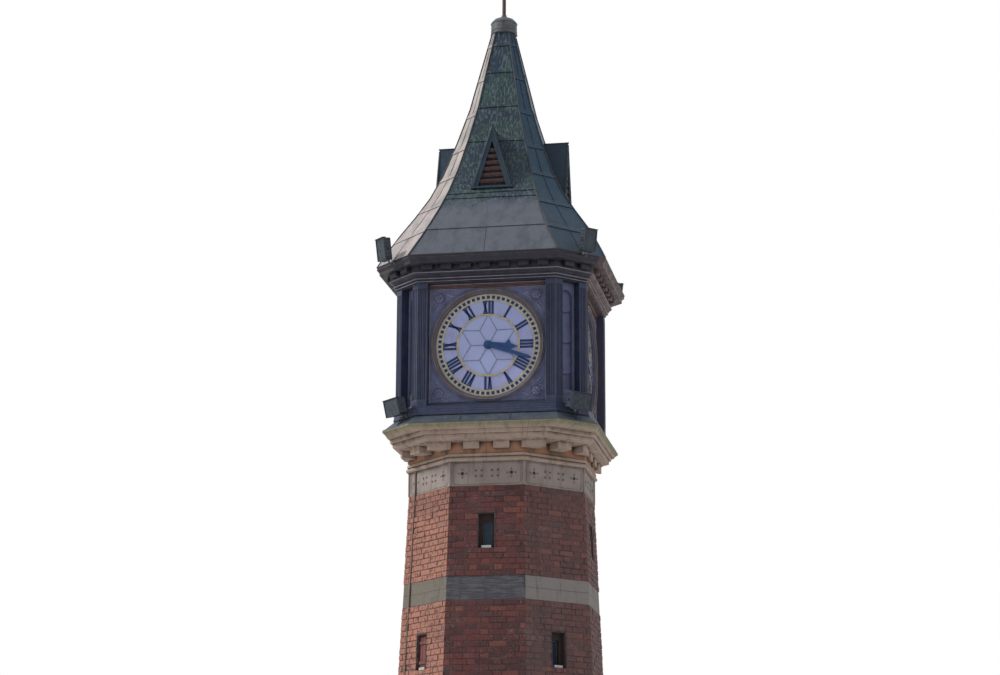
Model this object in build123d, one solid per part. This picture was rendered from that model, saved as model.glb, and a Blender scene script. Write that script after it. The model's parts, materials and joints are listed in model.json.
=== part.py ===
from build123d import *
from math import cos, pi, sin, sqrt, tan
import os

# All sizes are in millimetres. Ground level is z = 0 and the front looks toward -Y.
# Every storey is an irregular octagon: half is the half distance across its main faces,
# and cut is how far each corner is cut back along them.

# Step, plinth and entrance
step_top = 170
step_spread = 400
plinth_height = 730
plinth_spread = 110
plinth_slope = 70
door_share = 0.6
door_rise = 1630
door_head = 290
door_setback = 150
door_thickness = 60
door_stop = 30
door_fit = 4

# Tapering brick shaft with two flush stone bands
shaft_half = 1180
shaft_cut_share = 0.585
batter = 0.043
wall = 345
lower_height = 2100
middle_height = 2587
upper_height = 1187
band_height = 313

# Slit windows in the upper main walls and the middle corner walls
slit_width = 130
slit_height = 330
reveal_width = 212
reveal_height = 456
reveal_depth = 90
upper_sill = 364
middle_sill = 1735
sill_height = 34
frame_width = 18
frame_depth = 40
frame_setback = 150
glass_thickness = 8

# Stone frieze and cornice. Moulding rows are (out, height above the course's foot),
# or (out, cut taken off, height) where the corners grow faster than the main faces.
frieze_height = 320
corner_bead = 16
dentil_band = [(6, 0), (34, 5), (46, 20), (46, 36), (34, 52), (18, 58), (18, 64), (30, 68), (30, 102), (10, 108), (10, 258)]
cornice_bed = [(82, 194, 0), (82, 194, 12), (104, 182, 18), (142, 160, 30), (158, 150, 32), (170, 143, 38), (170, 143, 86)]
cornice_crown = [
    (190, 154, 0),
    (196, 158, 6),
    (196, 158, 54),
    (220, 236, 58),
    (224, 240, 72),
    (238, 244, 92),
    (260, 248, 112),
    (267, 249, 118),
    (267, 249, 136),
    (258, 249, 142),
]
block_width = 212
block_height = 93
block_reach = 58
block_pitch = 400
block_cut_loss = 202
wrap_main = 290
wrap_corner = 42
lead_height = 131
lead_margin = 12

# Clock stage
stage_out = 103
stage_cut_share = 0.2785
floor_thickness = 120
base_mould = [(30, 0), (30, 26), (24, 32), (24, 60), (16, 66), (16, 92), (8, 98), (8, 127)]
post_main = 133
post_corner = 118
post_depth = 190
reed_width = 26
reed_depth = 12
panel_setback = 110
panel_thickness = 45
head_rail = 53
head_rail_reach = 14

# Dials: a glass disc behind the panel, a moulded ring round it and a metal skeleton on it
ring_width = 66
ring_reach = 34
ring_side_gap = 21
ring_foot_gap = 60
ring_head_gap = 13
dial_thickness = 14
dial_rebate = 22
chapter_gap = 5
chapter_width = 92
centre_outer_share = 0.604
centre_width = 22
star_share = 0.328
bar_width = 9
skeleton_thickness = 5
roundel_radius = 62
roundel_inset = 140
roundel_thickness = 16

# Hands, with the minute arbor inside the hour tube inside the boss
arbor_radius = 12
tube_radius = 20
boss_radius = 44
boss_reach = 14
running_fit = 0.1
hand_gap = 9
hand_thickness = 7
hub_swell = 2
arbor_tail = 60
minute_share = 0.889
minute_width = 54
minute_hub = 42
minute_angle = 109
hour_share = 0.578
hour_width = 84
hour_hub = 58
hour_cusp_share = 0.391
hour_cusp_half = 92
hour_angle = 95

# Arched niches on the corner faces, with overlapping scalloped plates
niche_share = 0.73
niche_head = 98
niche_foot = 225
niche_depth = 58
niche_back = 22
plate_count = 3
plate_share = 0.268
first_plate_share = 0.19
plate_thickness = 26
plate_tip = 5
plate_sag = 34

# Eaves
eaves_bed = [
    (4, 0),
    (4, 20),
    (22, 24),
    (22, 44),
    (34, 52),
    (48, 56),
    (48, 78),
    (66, 84),
    (66, 100),
    (84, 108),
    (96, 124),
    (96, 220),
]
eaves_out = 270
eaves_cut_gain = 191
corona_height = 109
corona_lip = 40
soffit_edge = 30
dentil_width = 145
dentil_height = 62
dentil_reach = 62
dentil_pitch = 260
main_dentil_count = 7
corner_dentil_count = 2

# Bell-cast spire: shares of the way from its neck's half and cut out to the eaves', and of its height
spire_height = 3612
spire_curve_shares = [
    (1, 1, 0),
    (0.949, 1.006, 0.041),
    (0.893, 1.002, 0.083),
    (0.813, 0.94, 0.137),
    (0.678, 0.749, 0.214),
    (0.544, 0.549, 0.297),
    (0.429, 0.406, 0.393),
    (0.309, 0.29, 0.529),
    (0.195, 0.18, 0.674),
    (0.104, 0.094, 0.827),
    (0, 0, 1),
]
neck_half = 155
neck_cut = 62
spire_shell = 60

# Louvred lucarnes on the four main slopes
lucarne_foot_share = 0.285
lucarne_share = 0.263
lucarne_bury = 50
lucarne_half = 284
lucarne_border = 62
lucarne_reach = 600
louvre_count = 7
louvre_thickness = 9
louvre_depth = 52
louvre_angle = 38

# Cap and finial rod
cap_radius = 182
cap_lip = 14
cap_height = 190
cap_rise = 90
rod_radius = 26
rod_height = 960
ball_radius = 62
ball_height = 520

# Floodlights on the corner faces
upper_lamp_width = 200
upper_lamp_height = 300
upper_lamp_depth = 100
upper_lamp_out = 55
upper_lamp_angle = 8
upper_plate = 260
upper_arm_drop = 20
lower_lamp_width = 330
lower_lamp_height = 230
lower_lamp_depth = 120
lower_lamp_out = 40
lower_lamp_angle = 14
lower_plate = 200
lower_arm_rise = 22
lamp_lift = 20
lamp_rounding_share = 0.09
bracket_width = 40
bracket_thickness = 8

# Heights and sizes that follow
shaft_cut = shaft_half * shaft_cut_share
plinth_top = step_top + plinth_height
lower_band_foot = plinth_top + lower_height
middle_foot = lower_band_foot + band_height
upper_band_foot = middle_foot + middle_height
upper_foot = upper_band_foot + band_height
brick_top = upper_foot + upper_height
frieze_top = brick_top + frieze_height
band_top = frieze_top + dentil_band[-1][1]
bed_top = band_top + cornice_bed[-1][2]
cornice_top = bed_top + cornice_crown[-1][2]
stage_foot = cornice_top + lead_height
panel_foot = stage_foot + base_mould[-1][1]
stage_half = shaft_half + stage_out
stage_cut = stage_half * stage_cut_share
panel_half = stage_half - stage_cut - post_main
ring_radius = panel_half - ring_side_gap
dial_radius = ring_radius - ring_width
dial_centre = panel_foot + ring_foot_gap + ring_radius
panel_height = ring_foot_gap + 2 * ring_radius + ring_head_gap + head_rail
panel_top = panel_foot + panel_height
eaves_foot = panel_top + eaves_bed[-1][1]
eaves_top = eaves_foot + corona_height
eaves_half = stage_half + eaves_out
eaves_cut = stage_cut + eaves_cut_gain
cap_foot = eaves_top + spire_height

mitre = tan(pi / 8)
face_names = ("front", "right", "back", "left")
rising = (Align.CENTER, Align.CENTER, Align.MIN)


def octagon(half, cut, z):
    face = half - cut
    corners = [(face, -half), (half, -face), (half, face), (face, half)]
    corners += [(-x, -y) for x, y in corners]
    return Plane.XY.offset(z) * Polygon(*corners, align=None)


# An octagonal solid through the given (half, cut, z) levels
def stack(levels):
    return loft([octagon(*level) for level in levels], ruled=True)


# An octagon with every face moved in by one distance
def moved_in(half, cut, distance):
    return half - distance, cut - distance * (1 - mitre)


# Distance from the axis and half width of a main face, or of the corner face beside it
def face_of(half, cut, corner):
    if corner:
        return (2 * half - cut) / sqrt(2), cut / sqrt(2)
    return half, half - cut


# One wall of a hollow octagon, mitred to its neighbours and drawn at the front
def side(levels, thickness, corner):
    sections = []
    for half, cut, z in levels:
        reach, width = face_of(half, cut, corner)
        inner = width - thickness * mitre
        outline = [(-width, -reach), (width, -reach), (inner, thickness - reach), (-inner, thickness - reach)]
        sections.append(Plane.XY.offset(z) * Polygon(*outline, align=None))
    return loft(sections, ruled=True)


# Turns a piece drawn at the front to the four main faces, or to the four corner faces
def around(piece, corner=False):
    start = 45 if corner else 0
    return [Rot(0, 0, start + 90 * turn) * piece for turn in range(4)]


# A piece that wraps one arris of an octagon from a main face to a corner face
def arris_piece(half, cut, main, corner, depth, foot, height):
    x, y = half - cut, -half
    lean = sqrt(0.5)
    inner_half, inner_cut = moved_in(half, cut, depth)
    outline = [
        (x - main, y),
        (x, y),
        (x + corner * lean, y + corner * lean),
        (x + (corner - depth) * lean, y + (corner + depth) * lean),
        (inner_half - inner_cut, -inner_half),
        (x - main, y + depth),
    ]
    return extrude(Plane.XY.offset(foot) * Polygon(*outline, align=None), amount=height)


def every_arris(piece):
    return around(piece) + around(mirror(piece, Plane.YZ))


def shaft_level(z):
    scale = 1 + batter * max(brick_top - z, 0) / shaft_half
    return shaft_half * scale, shaft_cut * scale, z


def shaft_room(z):
    half, cut, level = shaft_level(z)
    return (*moved_in(half, cut, wall), level)


# A stone course round the shaft's free inside
def course(levels):
    return stack(levels) - stack([shaft_room(levels[0][2]), shaft_room(levels[-1][2])])


def shaft_side(foot, top, corner):
    return side([shaft_level(foot), shaft_level(top)], wall, corner)


# Levels of a moulding from rows of (out, height)
def moulded(rows, half, cut, foot):
    return [(*moved_in(half, cut, -out), foot + rise) for out, rise in rows]


# Levels of a corbelled moulding from rows of (out, cut taken off, height)
def corbelled(rows, foot):
    return [(shaft_half + out, shaft_cut - less, foot + rise) for out, less, rise in rows]


def save(name, pieces):
    solids = []
    for piece in pieces if isinstance(pieces, list) else [pieces]:
        solids += piece.solids()
    export_step(solids[0] if len(solids) == 1 else Compound(children=solids), f"parts/{name}.step")


os.makedirs("parts", exist_ok=True)

# Plinth, which leaves the front face to the entrance, on its step
plinth_levels = []
for spread, z in ((plinth_spread, step_top), (plinth_spread, plinth_top - plinth_slope), (0, plinth_top)):
    half, cut, level = shaft_level(z)
    plinth_levels.append((*moved_in(half, cut, -spread), level))
save("plinth_main_sides", around(side(plinth_levels, wall + plinth_spread, False))[1:])
save("plinth_corner_sides", around(side(plinth_levels, wall + plinth_spread, True), True))
step = moved_in(*plinth_levels[0][:2], -step_spread)
save("base_step", stack([(*step, 0), (*step, step_top)]))


# Arched outline of a doorway standing on the step
def arch(half, foot):
    spring = step_top + door_rise
    return Pos(0, (foot + spring) / 2) * Rectangle(2 * half, spring - foot) + Pos(0, spring) * Circle(half)


# Stone entrance with an arched doorway, and its closed door against the stop behind it
entrance_half, entrance_cut, _ = shaft_level(step_top)
door_half = door_share * (entrance_half - entrance_cut)
door_head_top = step_top + door_rise + door_half + door_head
leaf_back = entrance_half - door_setback - door_thickness
surround = side([shaft_level(step_top), shaft_level(door_head_top)], wall, False)
surround -= extrude(Plane.XZ.offset(leaf_back) * arch(door_half, step_top), amount=2 * wall)
surround -= extrude(Plane.XZ * arch(door_half - door_stop, step_top), amount=2 * leaf_back)
save("door_surround", surround)
leaf_outline = arch(door_half - door_fit, step_top + door_fit)
save("door_leaf", extrude(Plane.XZ.offset(leaf_back) * leaf_outline, amount=door_thickness))

# Lower walls of the shaft
save("entrance_wall", shaft_side(door_head_top, lower_band_foot, False))
save("lower_main_walls", around(shaft_side(plinth_top, lower_band_foot, False))[1:])
save("lower_corner_walls", around(shaft_side(plinth_top, lower_band_foot, True), True))


# A wall with a slit through it in a wider outer reveal, and the frame, glass and sill in them
def slit_wall(foot, top, corner, sill):
    reach = face_of(*shaft_level(foot + sill + reveal_height / 2)[:2], corner)[0]
    face = Pos(0, -reach, foot + sill)
    light = face * Pos(0, 0, sill_height + slit_height / 2)
    panel = shaft_side(foot, top, corner)
    panel -= light * Pos(0, wall / 2, 0) * Box(slit_width, 2 * wall, slit_height)
    panel -= face * Box(reveal_width, 2 * reveal_depth, reveal_height, align=rising)
    light_width = slit_width - 2 * frame_width
    light_height = slit_height - 2 * frame_width
    frame = Box(slit_width, frame_depth, slit_height) - Box(light_width, frame_depth, light_height)
    glass = Box(light_width, glass_thickness, light_height)
    sill_piece = face * Pos(0, reveal_depth / 2, 0) * Box(slit_width, reveal_depth, sill_height, align=rising)
    set_back = light * Pos(0, frame_setback, 0)
    return panel, {"slit_frames": set_back * frame, "slit_glass": set_back * glass, "slit_sills": sill_piece}


# Middle and upper walls with their windows
middle_corner, middle_window = slit_wall(middle_foot, upper_band_foot, True, middle_sill)
upper_main, upper_window = slit_wall(upper_foot, brick_top, False, upper_sill)
save("middle_main_walls", around(shaft_side(middle_foot, upper_band_foot, False)))
save("middle_corner_walls", around(middle_corner, True))
save("upper_main_walls", around(upper_main))
save("upper_corner_walls", around(shaft_side(upper_foot, brick_top, True), True))
for name in upper_window:
    save(name, around(upper_window[name]) + around(middle_window[name], True))

# Flush stone bands
save("lower_band", course([shaft_level(lower_band_foot), shaft_level(middle_foot)]))
save("upper_band", course([shaft_level(upper_band_foot), shaft_level(upper_foot)]))

# Stone frieze with a bead on each arris, then the band behind the blocks and the cornice
frieze = course([(shaft_half, shaft_cut, brick_top), (shaft_half, shaft_cut, frieze_top)])
bead = Cylinder(corner_bead, frieze_height, align=rising)
for turn in range(4):
    for x in (shaft_cut - shaft_half, shaft_half - shaft_cut):
        frieze += Rot(0, 0, 90 * turn) * Pos(x, -shaft_half, brick_top) * bead
save("stone_frieze", frieze)
band_levels = moulded(dentil_band, shaft_half, shaft_cut, frieze_top)
save("dentil_course", course(band_levels))
save("stone_cornice", course(corbelled(cornice_bed, band_top)))
crown_levels = corbelled(cornice_crown, bed_top)
save("cornice_crown", course(crown_levels))

# Square blocks under the cornice, on a squarer plan than the wall behind them: two on each main face,
# one on each corner face, and one that fills out every arris
backing = band_levels[-1][:2]
block_half = backing[0] + block_reach
block_cut = shaft_cut - block_cut_loss
block_foot = band_top - block_height
block = Box(block_width, block_reach, block_height, align=(Align.CENTER, Align.MAX, Align.MIN))
blocks = []
for place in (-block_pitch / 2, block_pitch / 2):
    blocks += around(Pos(place, -backing[0], block_foot) * block)
corner_backing = face_of(*backing, True)[0]
corner_reach = face_of(block_half, block_cut, True)[0] - corner_backing
corner_block = Box(block_width, corner_reach, block_height, align=(Align.CENTER, Align.MAX, Align.MIN))
blocks += around(Pos(0, -corner_backing, block_foot) * corner_block, True)
wrap_end = block_half - block_cut
turn_in = wrap_corner * sqrt(0.5)
back_x = wrap_end + turn_in - corner_reach * sqrt(0.5)
back_y = -block_half + turn_in + corner_reach * sqrt(0.5)
wrap_outline = [
    (wrap_end - wrap_main, -block_half),
    (wrap_end, -block_half),
    (wrap_end + turn_in, turn_in - block_half),
    (back_x, back_y),
    (backing[0] - backing[1], -backing[0]),
    (wrap_end - wrap_main, -backing[0]),
]
wrap = extrude(Plane.XY.offset(block_foot) * Polygon(*wrap_outline, align=None), amount=block_height)
save("stone_blocks", blocks + every_arris(wrap))

# Lead weathering up to the clock stage, and the floor inside it
lead_head = moved_in(stage_half, stage_cut, -lead_margin)
save("lead_weathering", course([crown_levels[-1], (*lead_head, stage_foot)]))
floor_size = shaft_room(brick_top)[:2]
save("clock_floor", stack([(*floor_size, stage_foot - floor_thickness), (*floor_size, stage_foot)]))

# The clock stage's free inside is as deep as its posts
stage_room = moved_in(stage_half, stage_cut, post_depth)


def stage_course(levels):
    return stack(levels) - stack([(*stage_room, levels[0][2]), (*stage_room, levels[-1][2])])


# Base mould, and the reeded posts that wrap the arrises
mould_levels = moulded(base_mould, stage_half, stage_cut, stage_foot)
save("stage_base_mould", stage_course(mould_levels))
post = arris_piece(stage_half, stage_cut, post_main, post_corner, post_depth, panel_foot, panel_height)
arris = Pos(stage_half - stage_cut, -stage_half, panel_foot)
groove = Box(reed_width, 2 * reed_depth, panel_height, align=rising)
for share in (0.32, 0.68):
    post -= arris * Pos(-post_main * share, 0, 0) * groove
    post -= arris * Rot(0, 0, 45) * Pos(post_corner * share, 0, 0) * groove
save("corner_posts", every_arris(post))

# Dial panels with a round opening, their head rails and corner roundels
panel_face = stage_half - panel_setback
panel = Box(2 * panel_half, panel_thickness, panel_height, align=(Align.CENTER, Align.MIN, Align.MIN))
panel = Pos(0, -panel_face, panel_foot) * panel
dial_plane = Plane(origin=(0, -panel_face, dial_centre), x_dir=(1, 0, 0), z_dir=(0, -1, 0))
panel -= extrude(dial_plane * Circle(dial_radius), amount=panel_thickness, both=True)
save("dial_panels", around(panel))
rail = Box(2 * panel_half, head_rail_reach, head_rail, align=(Align.CENTER, Align.MAX, Align.MAX))
save("head_rails", around(Pos(0, -panel_face, panel_top) * rail))
roundel_place = panel_half - roundel_inset
roundel = Cylinder(roundel_radius, roundel_thickness, align=rising)
roundels = []
for x in (-roundel_place, roundel_place):
    for y in (-roundel_place, roundel_place):
        roundels += around(dial_plane * Pos(x, y, 0) * roundel)
save("panel_roundels", roundels)

# Moulded ring in shares of its width and reach: a cove, two beads and a fall to the panel
ring_curve = [(0, 0), (0, 0.35), (0.35, 0.55), (0.42, 1), (0.62, 1), (0.68, 0.7), (0.78, 0.78), (0.94, 0.6), (1, 0)]
ring_outline = [(dial_radius + ring_width * across, ring_reach * out) for across, out in ring_curve]
ring = dial_plane * revolve(Plane.XZ * Polygon(*ring_outline, align=None), Axis.Z)
for turn, name in enumerate(face_names):
    save(f"dial_ring_{name}", Rot(0, 0, 90 * turn) * ring)

# Glass, boss and chapter ring on the panel's back plane
glass_plane = dial_plane.offset(-panel_thickness)
spindle_hole = Cylinder(tube_radius + running_fit, 4 * panel_thickness)
glass = Cylinder(dial_radius + dial_rebate, dial_thickness, align=(Align.CENTER, Align.CENTER, Align.MAX))
save("dial_glass", around(glass_plane * (glass - spindle_hole)))
save("dial_bosses", around(glass_plane * (Cylinder(boss_radius, boss_reach, align=rising) - spindle_hole)))


def flat_ring(outer, width):
    disc = Cylinder(outer, skeleton_thickness, align=rising)
    return disc - Cylinder(outer - width, skeleton_thickness, align=rising)


save("chapter_rings", around(glass_plane * flat_ring(dial_radius - chapter_gap, chapter_width)))

# Centre ring with a six-pointed star of bars
centre_outer = dial_radius * centre_outer_share
star_radius = dial_radius * star_share
rim_radius = centre_outer - centre_width / 2
centre = flat_ring(centre_outer, centre_width)
rim_run = Vector(rim_radius * sin(pi / 6), rim_radius * cos(pi / 6) - star_radius)
rim_lean = Vector(0, 1).get_angle(rim_run)
rim_bar = Box(bar_width, rim_run.length, skeleton_thickness, align=rising)
spoke = Box(bar_width, star_radius, skeleton_thickness, align=(Align.CENTER, Align.MIN, Align.MIN))
for index in range(6):
    turn = Rot(0, 0, 30 + 60 * index)
    centre += turn * spoke
    for hand_side in (-1, 1):
        middle = Pos(hand_side * rim_run.X / 2, star_radius + rim_run.Y / 2, 0)
        centre += turn * middle * Rot(0, 0, -hand_side * rim_lean) * rim_bar
centre -= Cylinder(boss_radius, 4 * skeleton_thickness)
save("centre_bars", around(glass_plane * centre))


# A hand is a flat blade with a thicker hub, drawn pointing up, with its arbor or tube behind it
def hand(outline, hub, spindle, foot):
    blade = extrude(make_face(Polyline(*outline, close=True)), amount=hand_thickness)
    blade += Pos(0, 0, -hub_swell) * Cylinder(hub, hand_thickness + 2 * hub_swell, align=rising)
    tail = foot + dial_thickness + arbor_tail
    return blade + Cylinder(spindle, tail, align=(Align.CENTER, Align.CENTER, Align.MAX))


hour_foot = boss_reach + hand_gap
minute_foot = hour_foot + hand_thickness + hand_gap
cusp = dial_radius * hour_cusp_share
hour_length = dial_radius * hour_share
minute_length = dial_radius * minute_share
hour_side = [
    (hour_width * 0.5, 0),
    (hour_width * 0.42, cusp * 0.84),
    (hour_cusp_half, cusp),
    (hour_width * 0.4, cusp * 1.11),
]
minute_side = [(minute_width * 0.5, 0), (minute_width * 0.44, minute_length - minute_width)]
hour_outline = hour_side + [(0, hour_length)] + [(-x, y) for x, y in reversed(hour_side)]
minute_outline = minute_side + [(0, minute_length)] + [(-x, y) for x, y in reversed(minute_side)]
hour = hand(hour_outline, hour_hub, tube_radius, hour_foot) - Cylinder(arbor_radius + running_fit, hour_length)
minute = hand(minute_outline, minute_hub, arbor_radius, minute_foot)
for turn, name in enumerate(face_names):
    at_face = Rot(0, 0, 90 * turn) * glass_plane.location
    save(f"hour_hand_{name}", at_face * Pos(0, 0, hour_foot) * Rot(0, 0, -hour_angle) * hour)
    save(f"minute_hand_{name}", at_face * Pos(0, 0, minute_foot) * Rot(0, 0, -minute_angle) * minute)

# Corner panels, each a block with an arch-headed niche
niche_reach, corner_width = face_of(stage_half, stage_cut, True)
niche_face = niche_reach - panel_setback
niche_half = niche_share * (corner_width - post_corner)
niche_crown = panel_height - niche_head
niche_spring = niche_crown - niche_half
niche_panel = Box(
    2 * (corner_width - post_corner), niche_depth + niche_back, panel_height, align=(Align.CENTER, Align.MIN, Align.MIN)
)
niche_outline = Pos(0, (niche_foot + niche_spring) / 2) * Rectangle(2 * niche_half, niche_spring - niche_foot)
niche_outline += Pos(0, niche_spring) * Circle(niche_half)
niche_room = extrude(Plane.XZ * niche_outline, amount=-niche_depth)
at_niche = Pos(0, -niche_face, panel_foot)
save("niche_panels", around(at_niche * (niche_panel - niche_room), True))

# Plates inside the niches, each thicker at its rounded foot than at its head
plate_height = niche_crown * plate_share
sag_radius = (niche_half**2 + plate_sag**2) / (2 * plate_sag)
plates = []
for index in range(plate_count):
    foot = niche_crown * (1 - first_plate_share) - plate_height * index
    top = foot + plate_height
    section = Plane.YZ * Polygon((0, foot), (0, top), (-plate_tip, top), (-plate_thickness, foot), align=None)
    plate = Pos(0, niche_depth, 0) * extrude(section, amount=niche_half, both=True)
    outline = Pos(0, foot + sag_radius) * Circle(sag_radius)
    outline += Pos(0, foot + sag_radius + plate_height) * Rectangle(4 * niche_half, 2 * plate_height)
    plate = plate & extrude(Plane.XZ * outline, amount=-niche_depth) & niche_room
    plates += around(at_niche * plate, True)
save("niche_plates", plates)

# Eaves: bed moulding, dentils and corona
bed_levels = moulded(eaves_bed, stage_half, stage_cut, panel_top)
save("eaves_bed_mould", stage_course(bed_levels))
dentil = Box(dentil_width, dentil_reach, dentil_height, align=(Align.CENTER, Align.MAX, Align.MAX))
dentils = []
for corner, count in ((False, main_dentil_count), (True, corner_dentil_count)):
    reach = face_of(*bed_levels[-1][:2], corner)[0]
    for index in range(count):
        dentils += around(Pos(dentil_pitch * (index - (count - 1) / 2), -reach, eaves_foot) * dentil, corner)
save("eaves_dentils", dentils)
soffit = moved_in(eaves_half, eaves_cut, soffit_edge)
corona_levels = [
    (*soffit, eaves_foot),
    (*soffit, eaves_foot + corona_lip),
    (eaves_half, eaves_cut, eaves_foot + corona_lip + soffit_edge),
    (eaves_half, eaves_cut, eaves_top),
]
save("eaves_corona", stage_course(corona_levels))

# Spire slopes as a shell, with the lucarnes' openings cut through the main ones
spire_levels = []
for half_share, cut_share, height_share in spire_curve_shares:
    half = neck_half + half_share * (eaves_half - neck_half)
    cut = neck_cut + cut_share * (eaves_cut - neck_cut)
    spire_levels.append((half, cut, eaves_top + height_share * spire_height))


def spire_half(z):
    for (lower, _, foot), (upper, _, top) in zip(spire_levels, spire_levels[1:]):
        if foot <= z <= top:
            return lower + (upper - lower) * (z - foot) / (top - foot)


lucarne_foot = eaves_top + spire_height * lucarne_foot_share
lucarne_height = spire_height * lucarne_share
lucarne_front = spire_half(lucarne_foot + lucarne_bury)
steepness = lucarne_height / lucarne_half
opening_foot = lucarne_foot + lucarne_border / 2
opening_half = lucarne_half - lucarne_border * (sqrt(1 + steepness**2) + 0.5) / steepness
opening_height = opening_half * steepness


def gablet(half, foot, height, depth):
    return extrude(Plane.XZ.offset(lucarne_front) * Polygon((-half, foot), (half, foot), (0, foot + height), align=None), amount=-depth)


opening = gablet(opening_half, opening_foot, opening_height, lucarne_reach)
save("spire_main_slopes", around(side(spire_levels, spire_shell, False) - opening))
save("spire_corner_slopes", around(side(spire_levels, spire_shell, True), True))
lucarne = gablet(lucarne_half, lucarne_foot, lucarne_height, lucarne_reach) - stack(spire_levels) - opening
save("lucarnes", around(max(lucarne.solids(), key=lambda solid: solid.volume)))

# Louvre slats inside each lucarne's opening
louvre_room = gablet(opening_half, opening_foot, opening_height, louvre_depth + 2 * louvre_thickness)
slat = Rot(-louvre_angle, 0, 0) * Box(2 * lucarne_half, louvre_depth, louvre_thickness)
louvres = []
for index in range(louvre_count):
    height = opening_foot + opening_height * (index + 0.5) / (louvre_count + 1)
    louvres += around(Pos(0, louvre_depth / 2 + louvre_thickness - lucarne_front, height) * slat & louvre_room)
save("louvres", louvres)

# Cap and finial rod
cap_outline = [
    (0, 0),
    (cap_radius - cap_lip, 0),
    (cap_radius, cap_lip),
    (cap_radius, cap_height),
    (cap_radius * 0.8, cap_height + cap_rise * 0.5),
    (cap_radius * 0.45, cap_height + cap_rise * 0.85),
    (0, cap_height + cap_rise),
]
save("spire_cap", Pos(0, 0, cap_foot) * revolve(Plane.XZ * Polygon(*cap_outline, align=None), Axis.Z))
rod = Cylinder(rod_radius, rod_height, align=rising) + Pos(0, 0, ball_height) * Sphere(ball_radius)
save("finial_rod", Pos(0, 0, cap_foot + cap_height + cap_rise) * rod)


# A floodlight that leans outward, on an arm and an upright, drawn at the front
def floodlight(width, depth, height, reach, out, z, angle, plate):
    turn = Pos(0, -reach - out, z) * Rot(angle, 0, 0)
    body = fillet(Box(width, depth, height).edges().filter_by(Axis.Y), width * lamp_rounding_share)
    body = turn * Pos(0, -bracket_thickness - depth / 2, height / 2 + lamp_lift) * body
    upright = turn * Box(bracket_width, bracket_thickness, plate, align=(Align.CENTER, Align.MAX, Align.MIN))
    arm = Box(bracket_width, out, bracket_thickness, align=(Align.CENTER, Align.MAX, Align.CENTER))
    return body, upright + Pos(0, -reach, z) * arm


eaves_reach = face_of(eaves_half, eaves_cut, True)[0]
mould_reach = face_of(*mould_levels[0][:2], True)[0]
upper_body, upper_bracket = floodlight(
    upper_lamp_width, upper_lamp_depth, upper_lamp_height,
    eaves_reach, upper_lamp_out, eaves_top - upper_arm_drop, upper_lamp_angle, upper_plate,
)
lower_body, lower_bracket = floodlight(
    lower_lamp_width, lower_lamp_depth, lower_lamp_height,
    mould_reach, lower_lamp_out, stage_foot + lower_arm_rise, lower_lamp_angle, lower_plate,
)
save("upper_lamps", around(upper_body, True))
save("upper_brackets", around(upper_bracket, True))
save("lower_lamps", [Rot(0, 0, turn) * lower_body for turn in (-45, 45)])
save("lower_brackets", [Rot(0, 0, turn) * lower_bracket for turn in (-45, 45)])
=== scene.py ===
import bpy
import bmesh
import json
import random
from math import atan, atan2, cos, floor, pi, radians, sin, sqrt, tan
from mathutils import Matrix, Vector


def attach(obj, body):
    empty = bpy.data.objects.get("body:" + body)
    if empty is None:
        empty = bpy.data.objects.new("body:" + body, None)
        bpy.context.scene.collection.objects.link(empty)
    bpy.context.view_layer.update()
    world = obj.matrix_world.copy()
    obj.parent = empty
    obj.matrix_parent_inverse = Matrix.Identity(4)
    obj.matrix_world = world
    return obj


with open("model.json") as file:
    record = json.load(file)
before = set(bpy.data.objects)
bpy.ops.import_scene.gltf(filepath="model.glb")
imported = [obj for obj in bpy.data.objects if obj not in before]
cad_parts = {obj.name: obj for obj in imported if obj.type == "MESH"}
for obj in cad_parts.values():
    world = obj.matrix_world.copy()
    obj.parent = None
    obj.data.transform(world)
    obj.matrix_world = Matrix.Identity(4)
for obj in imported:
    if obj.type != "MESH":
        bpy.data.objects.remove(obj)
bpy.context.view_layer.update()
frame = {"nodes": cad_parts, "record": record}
scene = bpy.context.scene
print("frame loaded")

mitre = tan(pi / 8)
sideNames = ["front", "right", "back", "left"]
mainSides = (0, 2, 4, 6)
cornerSides = (1, 3, 5, 7)
allSides = range(8)


# Small helpers for meshes. A face's own x runs along it, y goes into the tower and z is up.
def turned(number):
    return Matrix.Rotation(radians(45 * number), 4, "Z")  # face 0 is the front, then 45 degrees on each


def atFace(number, reach, z=0.0):
    return turned(number) @ Matrix.Translation((0, -reach, z))


def shifted(x, y, z):
    return Matrix.Translation((x, y, z))


def facingOut():
    # Turns a cone or disc made upright so that its axis runs out of a face
    return Matrix.Rotation(radians(90), 4, "X")


def octagonFace(half, cut, number):
    # Distance from the axis and half width of a main face (even number) or a corner face
    if number % 2:
        return (2 * half - cut) / sqrt(2), cut / sqrt(2)
    return half, half - cut


def octagonPoints(half, cut, z):
    face = half - cut
    corners = [(face, -half), (half, -face), (half, face), (face, half)]
    return [(x, y, z) for x, y in corners + [(-x, -y) for x, y in corners]]


def mirrored(side, inner, outer):
    # Start and end of a span from inner to outer, on the right (side 1) or the left (side -1)
    return sorted((side * inner, side * outer))


def halfRound(radius, out, size):
    return [(radius + size * cos(a), out + size * sin(a)) for a in (0, pi / 3, 2 * pi / 3, pi)]


def addBox(bm, low, high, place=None):
    size = [h - l for l, h in zip(low, high)]
    middle = [(h + l) / 2 for l, h in zip(low, high)]
    matrix = Matrix.Translation(middle) @ Matrix.Diagonal((*size, 1))
    return bmesh.ops.create_cube(bm, size=1, matrix=place @ matrix if place else matrix)["verts"]


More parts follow.
